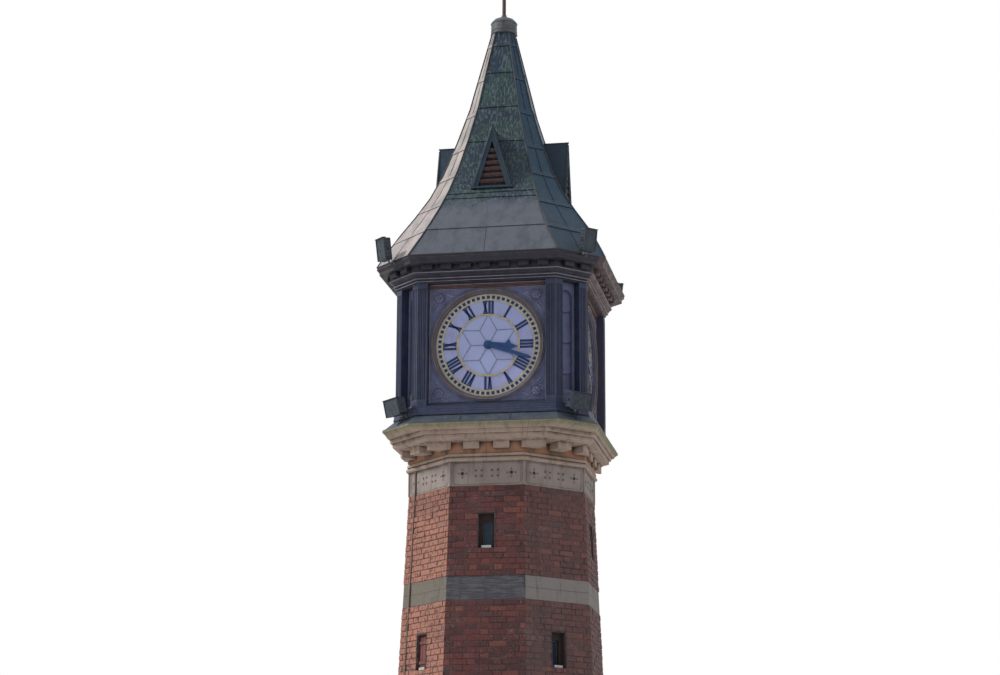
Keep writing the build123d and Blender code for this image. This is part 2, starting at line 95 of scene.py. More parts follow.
def addBar(bm, start, end, width, low, high, place):
    # A bar in a face's plane from one (x, z) to another, standing from low to high out of it
    run = Vector((end[0] - start[0], end[1] - start[1]))
    middle = shifted((start[0] + end[0]) / 2, -(low + high) / 2, (start[1] + end[1]) / 2)
    lean = Matrix.Rotation(-atan2(run.y, run.x), 4, "Y")
    matrix = place @ middle @ lean @ Matrix.Diagonal((run.length, high - low, width, 1))
    return bmesh.ops.create_cube(bm, size=1, matrix=matrix)["verts"]


def addTube(bm, points, radius, closed=False, place=None, roundness=1):
    curve = bpy.data.curves.new("tubeLine", "CURVE")
    curve.dimensions = "3D"
    curve.bevel_depth = radius
    curve.bevel_resolution = roundness
    curve.use_fill_caps = True
    spline = curve.splines.new("POLY")
    spline.points.add(len(points) - 1)
    for point, spot in zip(spline.points, points):
        point.co = (*spot, 1)
    spline.use_cyclic_u = closed
    holder = bpy.data.objects.new("tubeLine", curve)
    mesh = bpy.data.meshes.new_from_object(holder)
    if place:
        mesh.transform(place)
    bm.from_mesh(mesh)
    bpy.data.objects.remove(holder)
    bpy.data.meshes.remove(mesh)
    bpy.data.curves.remove(curve)


def spinRing(bm, profile, place, steps=64):
    # A closed profile of (radius, out) turned round the face's own axis
    verts = [bm.verts.new(place @ Vector((radius, -out, 0))) for radius, out in profile]
    edges = [bm.edges.new(pair) for pair in zip(verts, verts[1:] + verts[:1])]
    axis = place.to_3x3() @ Vector((0, 1, 0))
    bmesh.ops.spin(bm, geom=verts + edges, cent=place.translation, axis=axis, dvec=(0, 0, 0), angle=2 * pi,
                   steps=steps, use_merge=True)


def addPetal(bm, middle, length, width, height, angle, place):
    # A small swelling leaf that lies on a face
    matrix = (place @ shifted(middle[0], 0, middle[1]) @ Matrix.Rotation(-angle, 4, "Y")
              @ Matrix.Diagonal((length, height, width, 1)))
    bmesh.ops.create_uvsphere(bm, u_segments=8, v_segments=5, radius=0.5, matrix=matrix)


def frontVerts(verts):
    # In a mesh without bevels create_cube counts its corners up by x, y and z, so 0, 1, 4 and 5 have the
    # low y. After a bevel the order can change, and then other edges of a small box are rounded
    return [verts[index] for index in (0, 1, 4, 5)]


def outerEdges(verts):
    front = set(frontVerts(verts))
    edges = {edge for vert in front for edge in vert.link_edges}
    return [edge for edge in edges if edge.verts[0] in front and edge.verts[1] in front]


def bevelEdges(bm, edges, width, segments=1):
    bmesh.ops.bevel(bm, geom=edges, offset=width, offset_type="OFFSET", segments=segments, profile=0.5,
                    affect="EDGES", clamp_overlap=True, material=-1)


def addPlate(bm, low, high, out, inside, place):
    # A box on a face, from one (x, z) to another, that stands out of the face and reaches inside it
    return addBox(bm, (low[0], -out, low[1]), (high[0], inside, high[1]), place)


def addTrim(bm, low, high, out, inside, place, rounding=0.002):
    # A plate with its outer edges rounded
    bevelEdges(bm, outerEdges(addPlate(bm, low, high, out, inside, place)), rounding)


def makePiece(bm, name, material, body="tower", smooth=False):
    mesh = bpy.data.meshes.new(name)
    bmesh.ops.recalc_face_normals(bm, faces=bm.faces)
    bm.to_mesh(mesh)
    bm.free()
    mesh.materials.append(material)
    if smooth:
        mesh.shade_smooth()
        mesh.set_sharp_from_angle(angle=radians(38))
    piece = bpy.data.objects.new(name, mesh)
    scene.collection.objects.link(piece)
    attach(piece, body)
    return piece


# Shader helpers
def addNode(tree, kind, inputs=None, **settings):
    node = tree.nodes.new(kind)
    for key, value in settings.items():
        setattr(node, key, value)
    for key, value in (inputs or {}).items():
        if isinstance(value, bpy.types.NodeSocket):
            tree.links.new(value, node.inputs[key])
        else:
            node.inputs[key].default_value = value
    return node


def addMath(tree, operation, *values, **settings):
    inputs = dict(enumerate(values))
    return addNode(tree, "ShaderNodeMath", inputs, operation=operation, **settings).outputs["Value"]


def addNoise(tree, place, scale, detail, roughness=0.5):
    inputs = {"Vector": place, "Scale": scale, "Detail": detail, "Roughness": roughness}
    return addNode(tree, "ShaderNodeTexNoise", inputs).outputs["Fac"]


def addRange(tree, value, low=0, high=1, start=0, end=1, smooth=False):
    inputs = {"Value": value, "From Min": low, "From Max": high, "To Min": start, "To Max": end}
    kind = "SMOOTHSTEP" if smooth else "LINEAR"
    return addNode(tree, "ShaderNodeMapRange", inputs, interpolation_type=kind).outputs["Result"]


def splitVector(tree, vector):
    return addNode(tree, "ShaderNodeSeparateXYZ", {"Vector": vector}).outputs


def joinVector(tree, x, y, z=0.0):
    return addNode(tree, "ShaderNodeCombineXYZ", {"X": x, "Y": y, "Z": z}).outputs["Vector"]


def vectorMath(tree, operation, *values):
    return addNode(tree, "ShaderNodeVectorMath", dict(enumerate(values)), operation=operation).outputs


def octagonReach(tree, place):
    # How far a point is from the axis, counted square to the nearest side of the octagon
    parts = splitVector(tree, place)
    wide, deep = (addMath(tree, "ABSOLUTE", parts[axis]) for axis in ("X", "Y"))
    slant = addMath(tree, "MULTIPLY", addMath(tree, "ADD", wide, deep), sqrt(0.5))
    return addMath(tree, "MAXIMUM", addMath(tree, "MAXIMUM", wide, deep), slant)


def newGroup(name, values, results):
    # A group that takes a place and some values, and gives masks, measures or a normal
    tree = bpy.data.node_groups.new(name, "ShaderNodeTree")
    tree.interface.new_socket(name="Vector", in_out="INPUT", socket_type="NodeSocketVector")
    for label, value in values.items():
        socket = tree.interface.new_socket(name=label, in_out="INPUT", socket_type="NodeSocketFloat")
        socket.default_value = value
    for label in results:
        kind = "NodeSocketVector" if label == "Normal" else "NodeSocketFloat"
        tree.interface.new_socket(name=label, in_out="OUTPUT", socket_type=kind)
    return tree, tree.nodes.new("NodeGroupInput").outputs, tree.nodes.new("NodeGroupOutput").inputs


def placeGroup(tree, group, place, **values):
    inputs = {label.capitalize(): value for label, value in values.items()}
    return addNode(tree, "ShaderNodeGroup", {"Vector": place, **inputs}, node_tree=group).outputs


def cloudyPatches():
    # A mask from noise, with its threshold and softness
    tree, given, result = newGroup(
        "surfacePatches", {"Scale": 6, "Detail": 6, "Low": 0.45, "High": 0.6}, ["Mask"])
    noise = addNoise(tree, given["Vector"], given["Scale"], given["Detail"], 0.62)
    tree.links.new(addRange(tree, noise, given["Low"], given["High"], smooth=True), result["Mask"])
    return tree


def rainStreaks():
    # Noise drawn out along the height
    tree, given, result = newGroup(
        "rainStreaks", {"Across": 30, "Along": 1.2, "Low": 0.45, "High": 0.62}, ["Mask"])
    scale = joinVector(tree, given["Across"], given["Across"], given["Along"])
    noise = addNoise(tree, vectorMath(tree, "MULTIPLY", given["Vector"], scale)["Vector"], 1.0, 5, 0.6)
    tree.links.new(addRange(tree, noise, given["Low"], given["High"], smooth=True), result["Mask"])
    return tree


def edgeWear():
    # Where a rounded normal leaves the true one, broken up by fine noise
    tree, given, result = newGroup(
        "edgeWear", {"Radius": 0.006, "Breakup": 60, "Amount": 1}, ["Mask", "Normal"])
    rounded = addNode(tree, "ShaderNodeBevel", {"Radius": given["Radius"]}, samples=4).outputs["Normal"]
    flat = addNode(tree, "ShaderNodeNewGeometry").outputs["Normal"]
    edge = addRange(tree, vectorMath(tree, "DOT_PRODUCT", rounded, flat)["Value"], 0.995, 0.9)
    broken = addRange(tree, addNoise(tree, given["Vector"], given["Breakup"], 4, 0.7), 0.42, 0.62)
    mask = addMath(tree, "MULTIPLY", edge, broken)
    mask = addMath(tree, "MULTIPLY", mask, given["Amount"], use_clamp=True)
    tree.links.new(mask, result["Mask"])
    tree.links.new(rounded, result["Normal"])
    return tree


def dirtAndPaintedShade():
    # Dirt and painted shade that gather under ledges and in corners, from ambient occlusion broken up by
    # noise
    tree, given, result = newGroup("dirtAndPaintedShade", {"Distance": 0.12, "Breakup": 9}, ["Mask"])
    shade = addNode(tree, "ShaderNodeAmbientOcclusion", {"Distance": given["Distance"]}, samples=4)
    total = addMath(tree, "ADD", shade.outputs["AO"], addNoise(tree, given["Vector"], given["Breakup"], 5))
    tree.links.new(addRange(tree, total, 1.35, 0.85, smooth=True), result["Mask"])
    return tree


def stoneJoints():
    # Joints of a ring of dressed stones, seen from the tower's axis, and a tone for each stone
    tree, given, result = newGroup(
        "stoneJoints", {"Count": 16, "Width": 0.008, "Course": 5, "Foot": 0}, ["Mask", "Tone"])
    parts = splitVector(tree, given["Vector"])
    level = addMath(tree, "SUBTRACT", parts["Z"], given["Foot"])
    course = addMath(tree, "DIVIDE", level, given["Course"])
    row = addMath(tree, "FLOOR", course)
    turn = addMath(tree, "MULTIPLY", addMath(tree, "ARCTAN2", parts["Y"], parts["X"]), given["Count"])
    turn = addMath(tree, "DIVIDE", turn, 2 * pi)
    turn = addMath(tree, "ADD", turn, addMath(tree, "MULTIPLY", row, 0.5))
    stone = addMath(tree, "FLOOR", turn)
    span = addMath(tree, "PINGPONG", addMath(tree, "SUBTRACT", turn, stone), 0.5)
    reach = vectorMath(tree, "LENGTH", joinVector(tree, parts["X"], parts["Y"]))["Value"]
    length = addMath(tree, "DIVIDE", addMath(tree, "MULTIPLY", reach, 2 * pi), given["Count"])
    rise = addMath(tree, "PINGPONG", addMath(tree, "SUBTRACT", course, row), 0.5)
    rise = addMath(tree, "MULTIPLY", rise, given["Course"])
    near = addMath(tree, "MINIMUM", addMath(tree, "MULTIPLY", span, length), rise)
    tree.links.new(addRange(tree, near, 0, given["Width"], 1, 0, smooth=True), result["Mask"])
    key = joinVector(tree, stone, row)
    tone = addNode(tree, "ShaderNodeTexWhiteNoise", {"Vector": key}, noise_dimensions="2D")
    tree.links.new(tone.outputs["Value"], result["Tone"])
    return tree


def towerSides():
    # Which side a point is on, the left or the right, with a sharp change at the arris; several materials
    # paint sunlight on the left with it
    tree, given, result = newGroup("towerSides", {"Edge": 0.415, "Blend": 0.01}, ["Left", "Right"])
    parts = splitVector(tree, given["Vector"])
    deep = addMath(tree, "MAXIMUM", addMath(tree, "ABSOLUTE", parts["Y"]), 0.001)
    lean = addMath(tree, "DIVIDE", parts["X"], deep)
    far = addMath(tree, "ADD", given["Edge"], given["Blend"])
    for label, sign in (("Left", -1), ("Right", 1)):
        mask = addRange(tree, addMath(tree, "MULTIPLY", lean, sign), given["Edge"], far)
        tree.links.new(mask, result[label])
    return tree


def dialPlace():
    # Distance of a point on a dial from that dial's centre, and its height over the centre
    tree, given, result = newGroup("dialPlace", {"Centre": 9.3}, ["Radius", "Height"])
    parts = splitVector(tree, given["Vector"])
    wide, deep = (addMath(tree, "ABSOLUTE", parts[axis]) for axis in ("X", "Y"))
    rise = addMath(tree, "SUBTRACT", parts["Z"], given["Centre"])
    flat = joinVector(tree, addMath(tree, "MINIMUM", wide, deep), rise)
    tree.links.new(vectorMath(tree, "LENGTH", flat)["Value"], result["Radius"])
    tree.links.new(rise, result["Height"])
    return tree


patchGroup = cloudyPatches()
streakGroup = rainStreaks()
wearGroup = edgeWear()
dirtAndShadeGroup = dirtAndPaintedShade()
jointGroup = stoneJoints()
sideGroup = towerSides()
dialGroup = dialPlace()


def startMaterial(name):
    material = bpy.data.materials.new(name)
    material.use_nodes = True
    tree = material.node_tree
    shader = tree.nodes["Principled BSDF"]
    place = tree.nodes.new("ShaderNodeTexCoord").outputs["Object"]
    return material, tree, shader, place


def colourOf(value):
    return (*value, 1)


def mixColour(tree, mask, under, over, strength=1.0):
    # Lays one colour over another where the mask is white
    if strength != 1.0:
        mask = addMath(tree, "MULTIPLY", mask, strength)
    node = tree.nodes.new("ShaderNodeMix")
    node.data_type = "RGBA"
    for index, value in ((0, mask), (6, under), (7, over)):
        if isinstance(value, bpy.types.NodeSocket):
            tree.links.new(value, node.inputs[index])
        else:
            node.inputs[index].default_value = colourOf(value)
    return node.outputs[2]


def layColours(tree, shader, colour, layers):
    # Lays (mask, colour, strength) layers over a ground colour, the last one uppermost
    for mask, over, strength in layers:
        colour = mixColour(tree, mask, colour, over, strength)
    tree.links.new(colour, shader.inputs["Base Color"])


def addBump(tree, shader, height, strength, distance, normal=None):
    inputs = {"Height": height, "Strength": strength, "Distance": distance}
    if normal is not None:
        inputs["Normal"] = normal
    tree.links.new(addNode(tree, "ShaderNodeBump", inputs).outputs["Normal"], shader.inputs["Normal"])


def setRoughness(tree, shader, mask, low, high):
    tree.links.new(addRange(tree, mask, start=low, end=high), shader.inputs["Roughness"])


# Stone: dressed blocks with joints, sooty streaks, painted shade in hollows, algae and pale wear on the
# edges
def stoneMaterial(name, look):
    material, tree, shader, place = startMaterial(name)
    joints = placeGroup(tree, jointGroup, place, count=look["stones"], width=0.007, course=look["course"],
                        foot=look["foot"])
    patches = placeGroup(tree, patchGroup, place, scale=look["patchScale"], low=0.38, high=0.66)["Mask"]
    grain = addNoise(tree, place, 220.0, 5, 0.7)
    worn = addNoise(tree, place, 16.0, 8, 0.66)
    pits = addNode(tree, "ShaderNodeTexVoronoi", {"Vector": place, "Scale": 150.0}).outputs["Distance"]
    algae = placeGroup(tree, patchGroup, place, scale=3.4, detail=9, low=0.52, high=0.7)["Mask"]
    streaks = placeGroup(tree, streakGroup, place, across=11.0, along=1.6, low=0.5, high=0.68)["Mask"]
    dirtAndShade = placeGroup(tree, dirtAndShadeGroup, place, distance=look["dirtAndShadeReach"])["Mask"]
    wear = placeGroup(tree, wearGroup, place, radius=0.007, breakup=45.0, amount=0.8)
    layers = [(patches, look["patch"], 1.0), (joints["Tone"], look["patch"], 0.5),
              (worn, look["grain"], 0.35), (grain, look["grain"], 0.22)]
    if "right" in look:
        # Laminated stone: lighter and browner on the left, which is painted sunlight, and paler on the right
        beds = placeGroup(tree, streakGroup, place, across=5.0, along=110.0, low=0.46, high=0.6)["Mask"]
        sides = placeGroup(tree, sideGroup, place, edge=0.415)
        layers += [(sides["Left"], look["left"], 0.75), (sides["Right"], look["right"], 0.8),
                   (beds, look["wear"], 0.5)]
    if "recessShade" in look:
        # Painted shade between the blocks, darker and warmer than the stone, and green growth along the top
        # of the crown
        z = splitVector(tree, place)["Z"]
        inner = addMath(tree, "LESS_THAN", octagonReach(tree, place), 1.225)
        betweenBlocksShade = addMath(tree, "MULTIPLY", inner, addMath(tree, "GREATER_THAN", z, 7.83))
        green = addMath(tree, "MULTIPLY", addRange(tree, z, 8.12, 8.18), worn)
        layers += [(betweenBlocksShade, look["recessShade"], 0.85), (green, look["algae"], 1.7)]
    # Sooty streaks, grime with painted shade under ledges and in corners, worn edges and dark joints
    layers += [(algae, look["algae"], look["algaeAmount"]), (streaks, look["sootAndShade"], look["streakAmount"]),
               (dirtAndShade, look["sootAndShade"], look["dirtAndShadeAmount"]), (wear["Mask"], look["wear"], 0.6),
               (joints["Mask"], look["sootAndShade"], look["jointAmount"])]
    layColours(tree, shader, look["stone"], layers)
    setRoughness(tree, shader, grain, 0.78, 0.98)
    height = addMath(tree, "MULTIPLY_ADD", worn, 2.5, addMath(tree, "ADD", grain, pits))
    groove = addMath(tree, "MULTIPLY", joints["Mask"], 2.0 * look["jointAmount"])
    addBump(tree, shader, addMath(tree, "SUBTRACT", height, groove), 0.5, 0.006, wear["Normal"])
    return material


# What most stones share, and the looks of each
stoneDefaults = {
    "streakAmount": 0.35, "dirtAndShadeAmount": 0.7, "stones": 8.0, "course": 9.0, "foot": 0.0, "jointAmount": 0.8,
}
stoneLooks = {
    "step_stone": {
        "stone": (0.3, 0.28, 0.25), "patch": (0.22, 0.21, 0.19), "grain": (0.4, 0.38, 0.34),
        "algae": (0.12, 0.14, 0.08), "sootAndShade": (0.06, 0.055, 0.05), "wear": (0.46, 0.43, 0.38),
        "algaeAmount": 0.5, "streakAmount": 0.1, "dirtAndShadeAmount": 0.75, "patchScale": 2.6, "dirtAndShadeReach": 0.25,
        "stones": 16.0, "course": 5.0, "foot": -1.0,
    },
    "plinth_stone": {
        "stone": (0.31, 0.265, 0.225), "patch": (0.21, 0.185, 0.165), "grain": (0.4, 0.35, 0.3),
        "algae": (0.11, 0.13, 0.07), "sootAndShade": (0.055, 0.05, 0.05), "wear": (0.44, 0.39, 0.33),
        "algaeAmount": 0.45, "patchScale": 2.2, "dirtAndShadeReach": 0.2, "stones": 24.0, "course": 0.33,
        "foot": 0.17,
    },
    "band_stone": {
        "stone": (0.036, 0.036, 0.052), "patch": (0.02, 0.022, 0.034), "grain": (0.08, 0.078, 0.094),
        "algae": (0.085, 0.09, 0.055), "sootAndShade": (0.022, 0.022, 0.028), "wear": (0.16, 0.16, 0.18),
        "left": (0.15, 0.125, 0.086), "right": (0.25, 0.222, 0.205), "algaeAmount": 0.4,
        "streakAmount": 0.4, "dirtAndShadeAmount": 0.5, "patchScale": 3.1, "dirtAndShadeReach": 0.1, "course": 0.1565,
        "foot": 5.9, "jointAmount": 0.6,
    },
    "cornice_stone": {
        "stone": (0.385, 0.28, 0.232), "patch": (0.27, 0.2, 0.168), "grain": (0.45, 0.355, 0.305),
        "algae": (0.15, 0.16, 0.085), "sootAndShade": (0.06, 0.043, 0.036), "wear": (0.54, 0.45, 0.4),
        "recessShade": (0.35, 0.17, 0.095), "algaeAmount": 0.35, "dirtAndShadeAmount": 0.95, "patchScale": 3.6,
        "dirtAndShadeReach": 0.07, "stones": 16.0, "jointAmount": 0.5,
    },
    "frieze_stone": {
        "stone": (0.26, 0.215, 0.2), "patch": (0.195, 0.165, 0.158), "grain": (0.33, 0.28, 0.265),
        "algae": (0.13, 0.125, 0.08), "sootAndShade": (0.07, 0.055, 0.052), "wear": (0.38, 0.33, 0.3),
        "algaeAmount": 0.3, "patchScale": 5.5, "dirtAndShadeReach": 0.06, "jointAmount": 0.0,
    },
    "sill_stone": {
        "stone": (0.44, 0.45, 0.48), "patch": (0.33, 0.34, 0.37), "grain": (0.5, 0.51, 0.53),
        "algae": (0.25, 0.25, 0.18), "sootAndShade": (0.16, 0.15, 0.14), "wear": (0.7, 0.69, 0.68),
        "algaeAmount": 0.15, "streakAmount": 0.2, "dirtAndShadeAmount": 0.3, "patchScale": 7.0, "dirtAndShadeReach": 0.03,
        "jointAmount": 0.0,
    },
}
materials = {name: stoneMaterial(name, {**stoneDefaults, **look}) for name, look in stoneLooks.items()}

# Brick faces, toned brick by brick, and the mortar behind them
brickLook = {
    "dark": (0.036, 0.011, 0.015), "red": (0.098, 0.020, 0.023), "orange": (0.195, 0.058, 0.042),
    "grey": (0.072, 0.036, 0.039), "sootAndShade": (0.020, 0.011, 0.014), "bloom": (0.29, 0.20, 0.18),
    "mortar": (0.150, 0.092, 0.084), "mortarDark": (0.050, 0.028, 0.030), "left": (0.36, 0.130, 0.086),
    "leftPale": (0.43, 0.25, 0.185), "right": (0.135, 0.088, 0.085),
    "tones": ((0.25, "red"), (0.6, "red"), (0.82, "orange"), (0.92, "dark")),
}
# The shaft as the solids have it: its main faces lean in by the batter up to the top of the brickwork
shaft = {
    "half": 1.180, "cut": 0.6903, "batter": 0.043, "brickTop": 7.4, "entranceFoot": 2.4612,
    "storeys": {"lower": (0.9, 3.0), "middle": (3.313, 5.9), "upper": (6.213, 7.4)},
}
shaftTilt = atan(shaft["batter"])


def brickMaterial():
    look = brickLook
    material, tree, shader, place = startMaterial("brickFaces")
    tone = addNode(tree, "ShaderNodeAttribute", attribute_name="brickTone")
    ramp = addNode(tree, "ShaderNodeValToRGB", {"Fac": tone.outputs["Fac"]})
    stops = ramp.color_ramp.elements
    stops[0].position, stops[0].color = 0.0, colourOf(look["dark"])
    stops[1].position, stops[1].color = 1.0, colourOf(look["grey"])
    for position, key in look["tones"]:
        stops.new(position).color = colourOf(look[key])
    sand = addNoise(tree, place, 130.0, 6, 0.72)
    drag = addNoise(tree, place, 24.0, 5, 0.6)
    dark = placeGroup(tree, patchGroup, place, scale=1.3, detail=8, low=0.45, high=0.68)["Mask"]
    bloom = placeGroup(tree, patchGroup, place, scale=2.1, detail=10, low=0.6, high=0.74)["Mask"]
    flecks = placeGroup(tree, patchGroup, place, scale=34.0, detail=6, low=0.61, high=0.67)["Mask"]
    pits = placeGroup(tree, patchGroup, place, scale=21.0, detail=9, low=0.56, high=0.62)["Mask"]
    streaks = placeGroup(tree, streakGroup, place, across=7.0, along=0.8, low=0.52, high=0.7)["Mask"]
    wear = placeGroup(tree, wearGroup, place, radius=0.004, breakup=38.0, amount=0.7)
    sides = placeGroup(tree, sideGroup, place, edge=0.415)
    # Painted sunlight: the left side is lighter and orange-pink, and paler in patches
    pale = addMath(tree, "MULTIPLY", sides["Left"], drag)
    damp = addMath(tree, "MULTIPLY", sides["Right"], dark)
    pitted = addMath(tree, "MULTIPLY", addMath(tree, "MULTIPLY_ADD", sides["Left"], 0.55, 0.3), pits)
    layColours(tree, shader, ramp.outputs["Color"], [
        (drag, look["dark"], 0.5), (sand, look["orange"], 0.2), (sides["Left"], look["left"], 0.6),
        (pale, look["leftPale"], 0.5), (sides["Right"], look["right"], 0.35), (damp, look["right"], 0.5),
        (dark, look["sootAndShade"], 0.3), (streaks, look["sootAndShade"], 0.3), (pitted, look["dark"], 0.75),
        (flecks, look["bloom"], 0.4), (bloom, look["bloom"], 0.2), (wear["Mask"], look["bloom"], 0.3)])
    setRoughness(tree, shader, sand, 0.72, 0.98)
    height = addMath(tree, "SUBTRACT", addMath(tree, "ADD", sand, drag), pits)
    addBump(tree, shader, height, 0.8, 0.006, wear["Normal"])
    return material


def mortarMaterial():
    # Painted shade: dark where it is inside an opening
    material, tree, shader, place = startMaterial("mortarBed")
    grit = addNoise(tree, place, 260.0, 5, 0.75)
    damp = placeGroup(tree, patchGroup, place, scale=2.4, detail=8, low=0.4, high=0.62)["Mask"]
    reach = octagonReach(tree, place)
    axisReach = shaft["half"] + shaft["batter"] * shaft["brickTop"]
    outside = addMath(tree, "MULTIPLY_ADD", splitVector(tree, place)["Z"], -shaft["batter"], axisReach)
    inside = addRange(tree, addMath(tree, "SUBTRACT", outside, reach), 0.004, 0.05)
    layColours(tree, shader, brickLook["mortar"], [
        (damp, brickLook["mortarDark"], 0.85), (grit, brickLook["sootAndShade"], 0.4),
        (inside, brickLook["sootAndShade"], 0.85)])
    setRoughness(tree, shader, grit, 0.85, 1.0)
    addBump(tree, shader, grit, 0.7, 0.003)
    return material


materials["brickFace"] = brickMaterial()
materials["brick"] = mortarMaterial()


# Painted and weathered metal or timber, with painted shade and grime in its hollows
def paintMaterial(name, look):
    material, tree, shader, place = startMaterial(name)
    patches = placeGroup(tree, patchGroup, place, scale=look["patchScale"], detail=8, low=0.42,
                         high=0.64)["Mask"]
    streaks = placeGroup(tree, streakGroup, place, across=look["across"], along=look["along"], low=0.46,
                         high=0.66)["Mask"]
    fine = addNoise(tree, place, 190.0, 5, 0.7)
    # Grime with painted shade under ledges and in corners
    dirtAndShade = placeGroup(tree, dirtAndShadeGroup, place, distance=look["dirtAndShadeReach"])["Mask"]
    wear = placeGroup(tree, wearGroup, place, radius=look["edge"], breakup=70.0, amount=look["wearAmount"])
    layers = [(patches, look["patch"], 1.0), (streaks, look["streak"], look["streakAmount"]),
              (dirtAndShade, look["dirtAndShade"], look["dirtAndShadeAmount"]), (fine, look["patch"], 0.2)]
    if "right" in look:
        sides = placeGroup(tree, sideGroup, place, edge=1.36, blend=0.03)
        layers.append((sides["Right"], look["right"], look["rightAmount"]))
    layColours(tree, shader, look["paint"], layers + [(wear["Mask"], look["wear"], 1.0)])
    setRoughness(tree, shader, streaks, *look["rough"])
    shader.inputs["Metallic"].default_value = look["metallic"]
    shader.inputs["Specular IOR Level"].default_value = 0.25
    addBump(tree, shader, fine, look["bump"], 0.002, wear["Normal"])
    return material


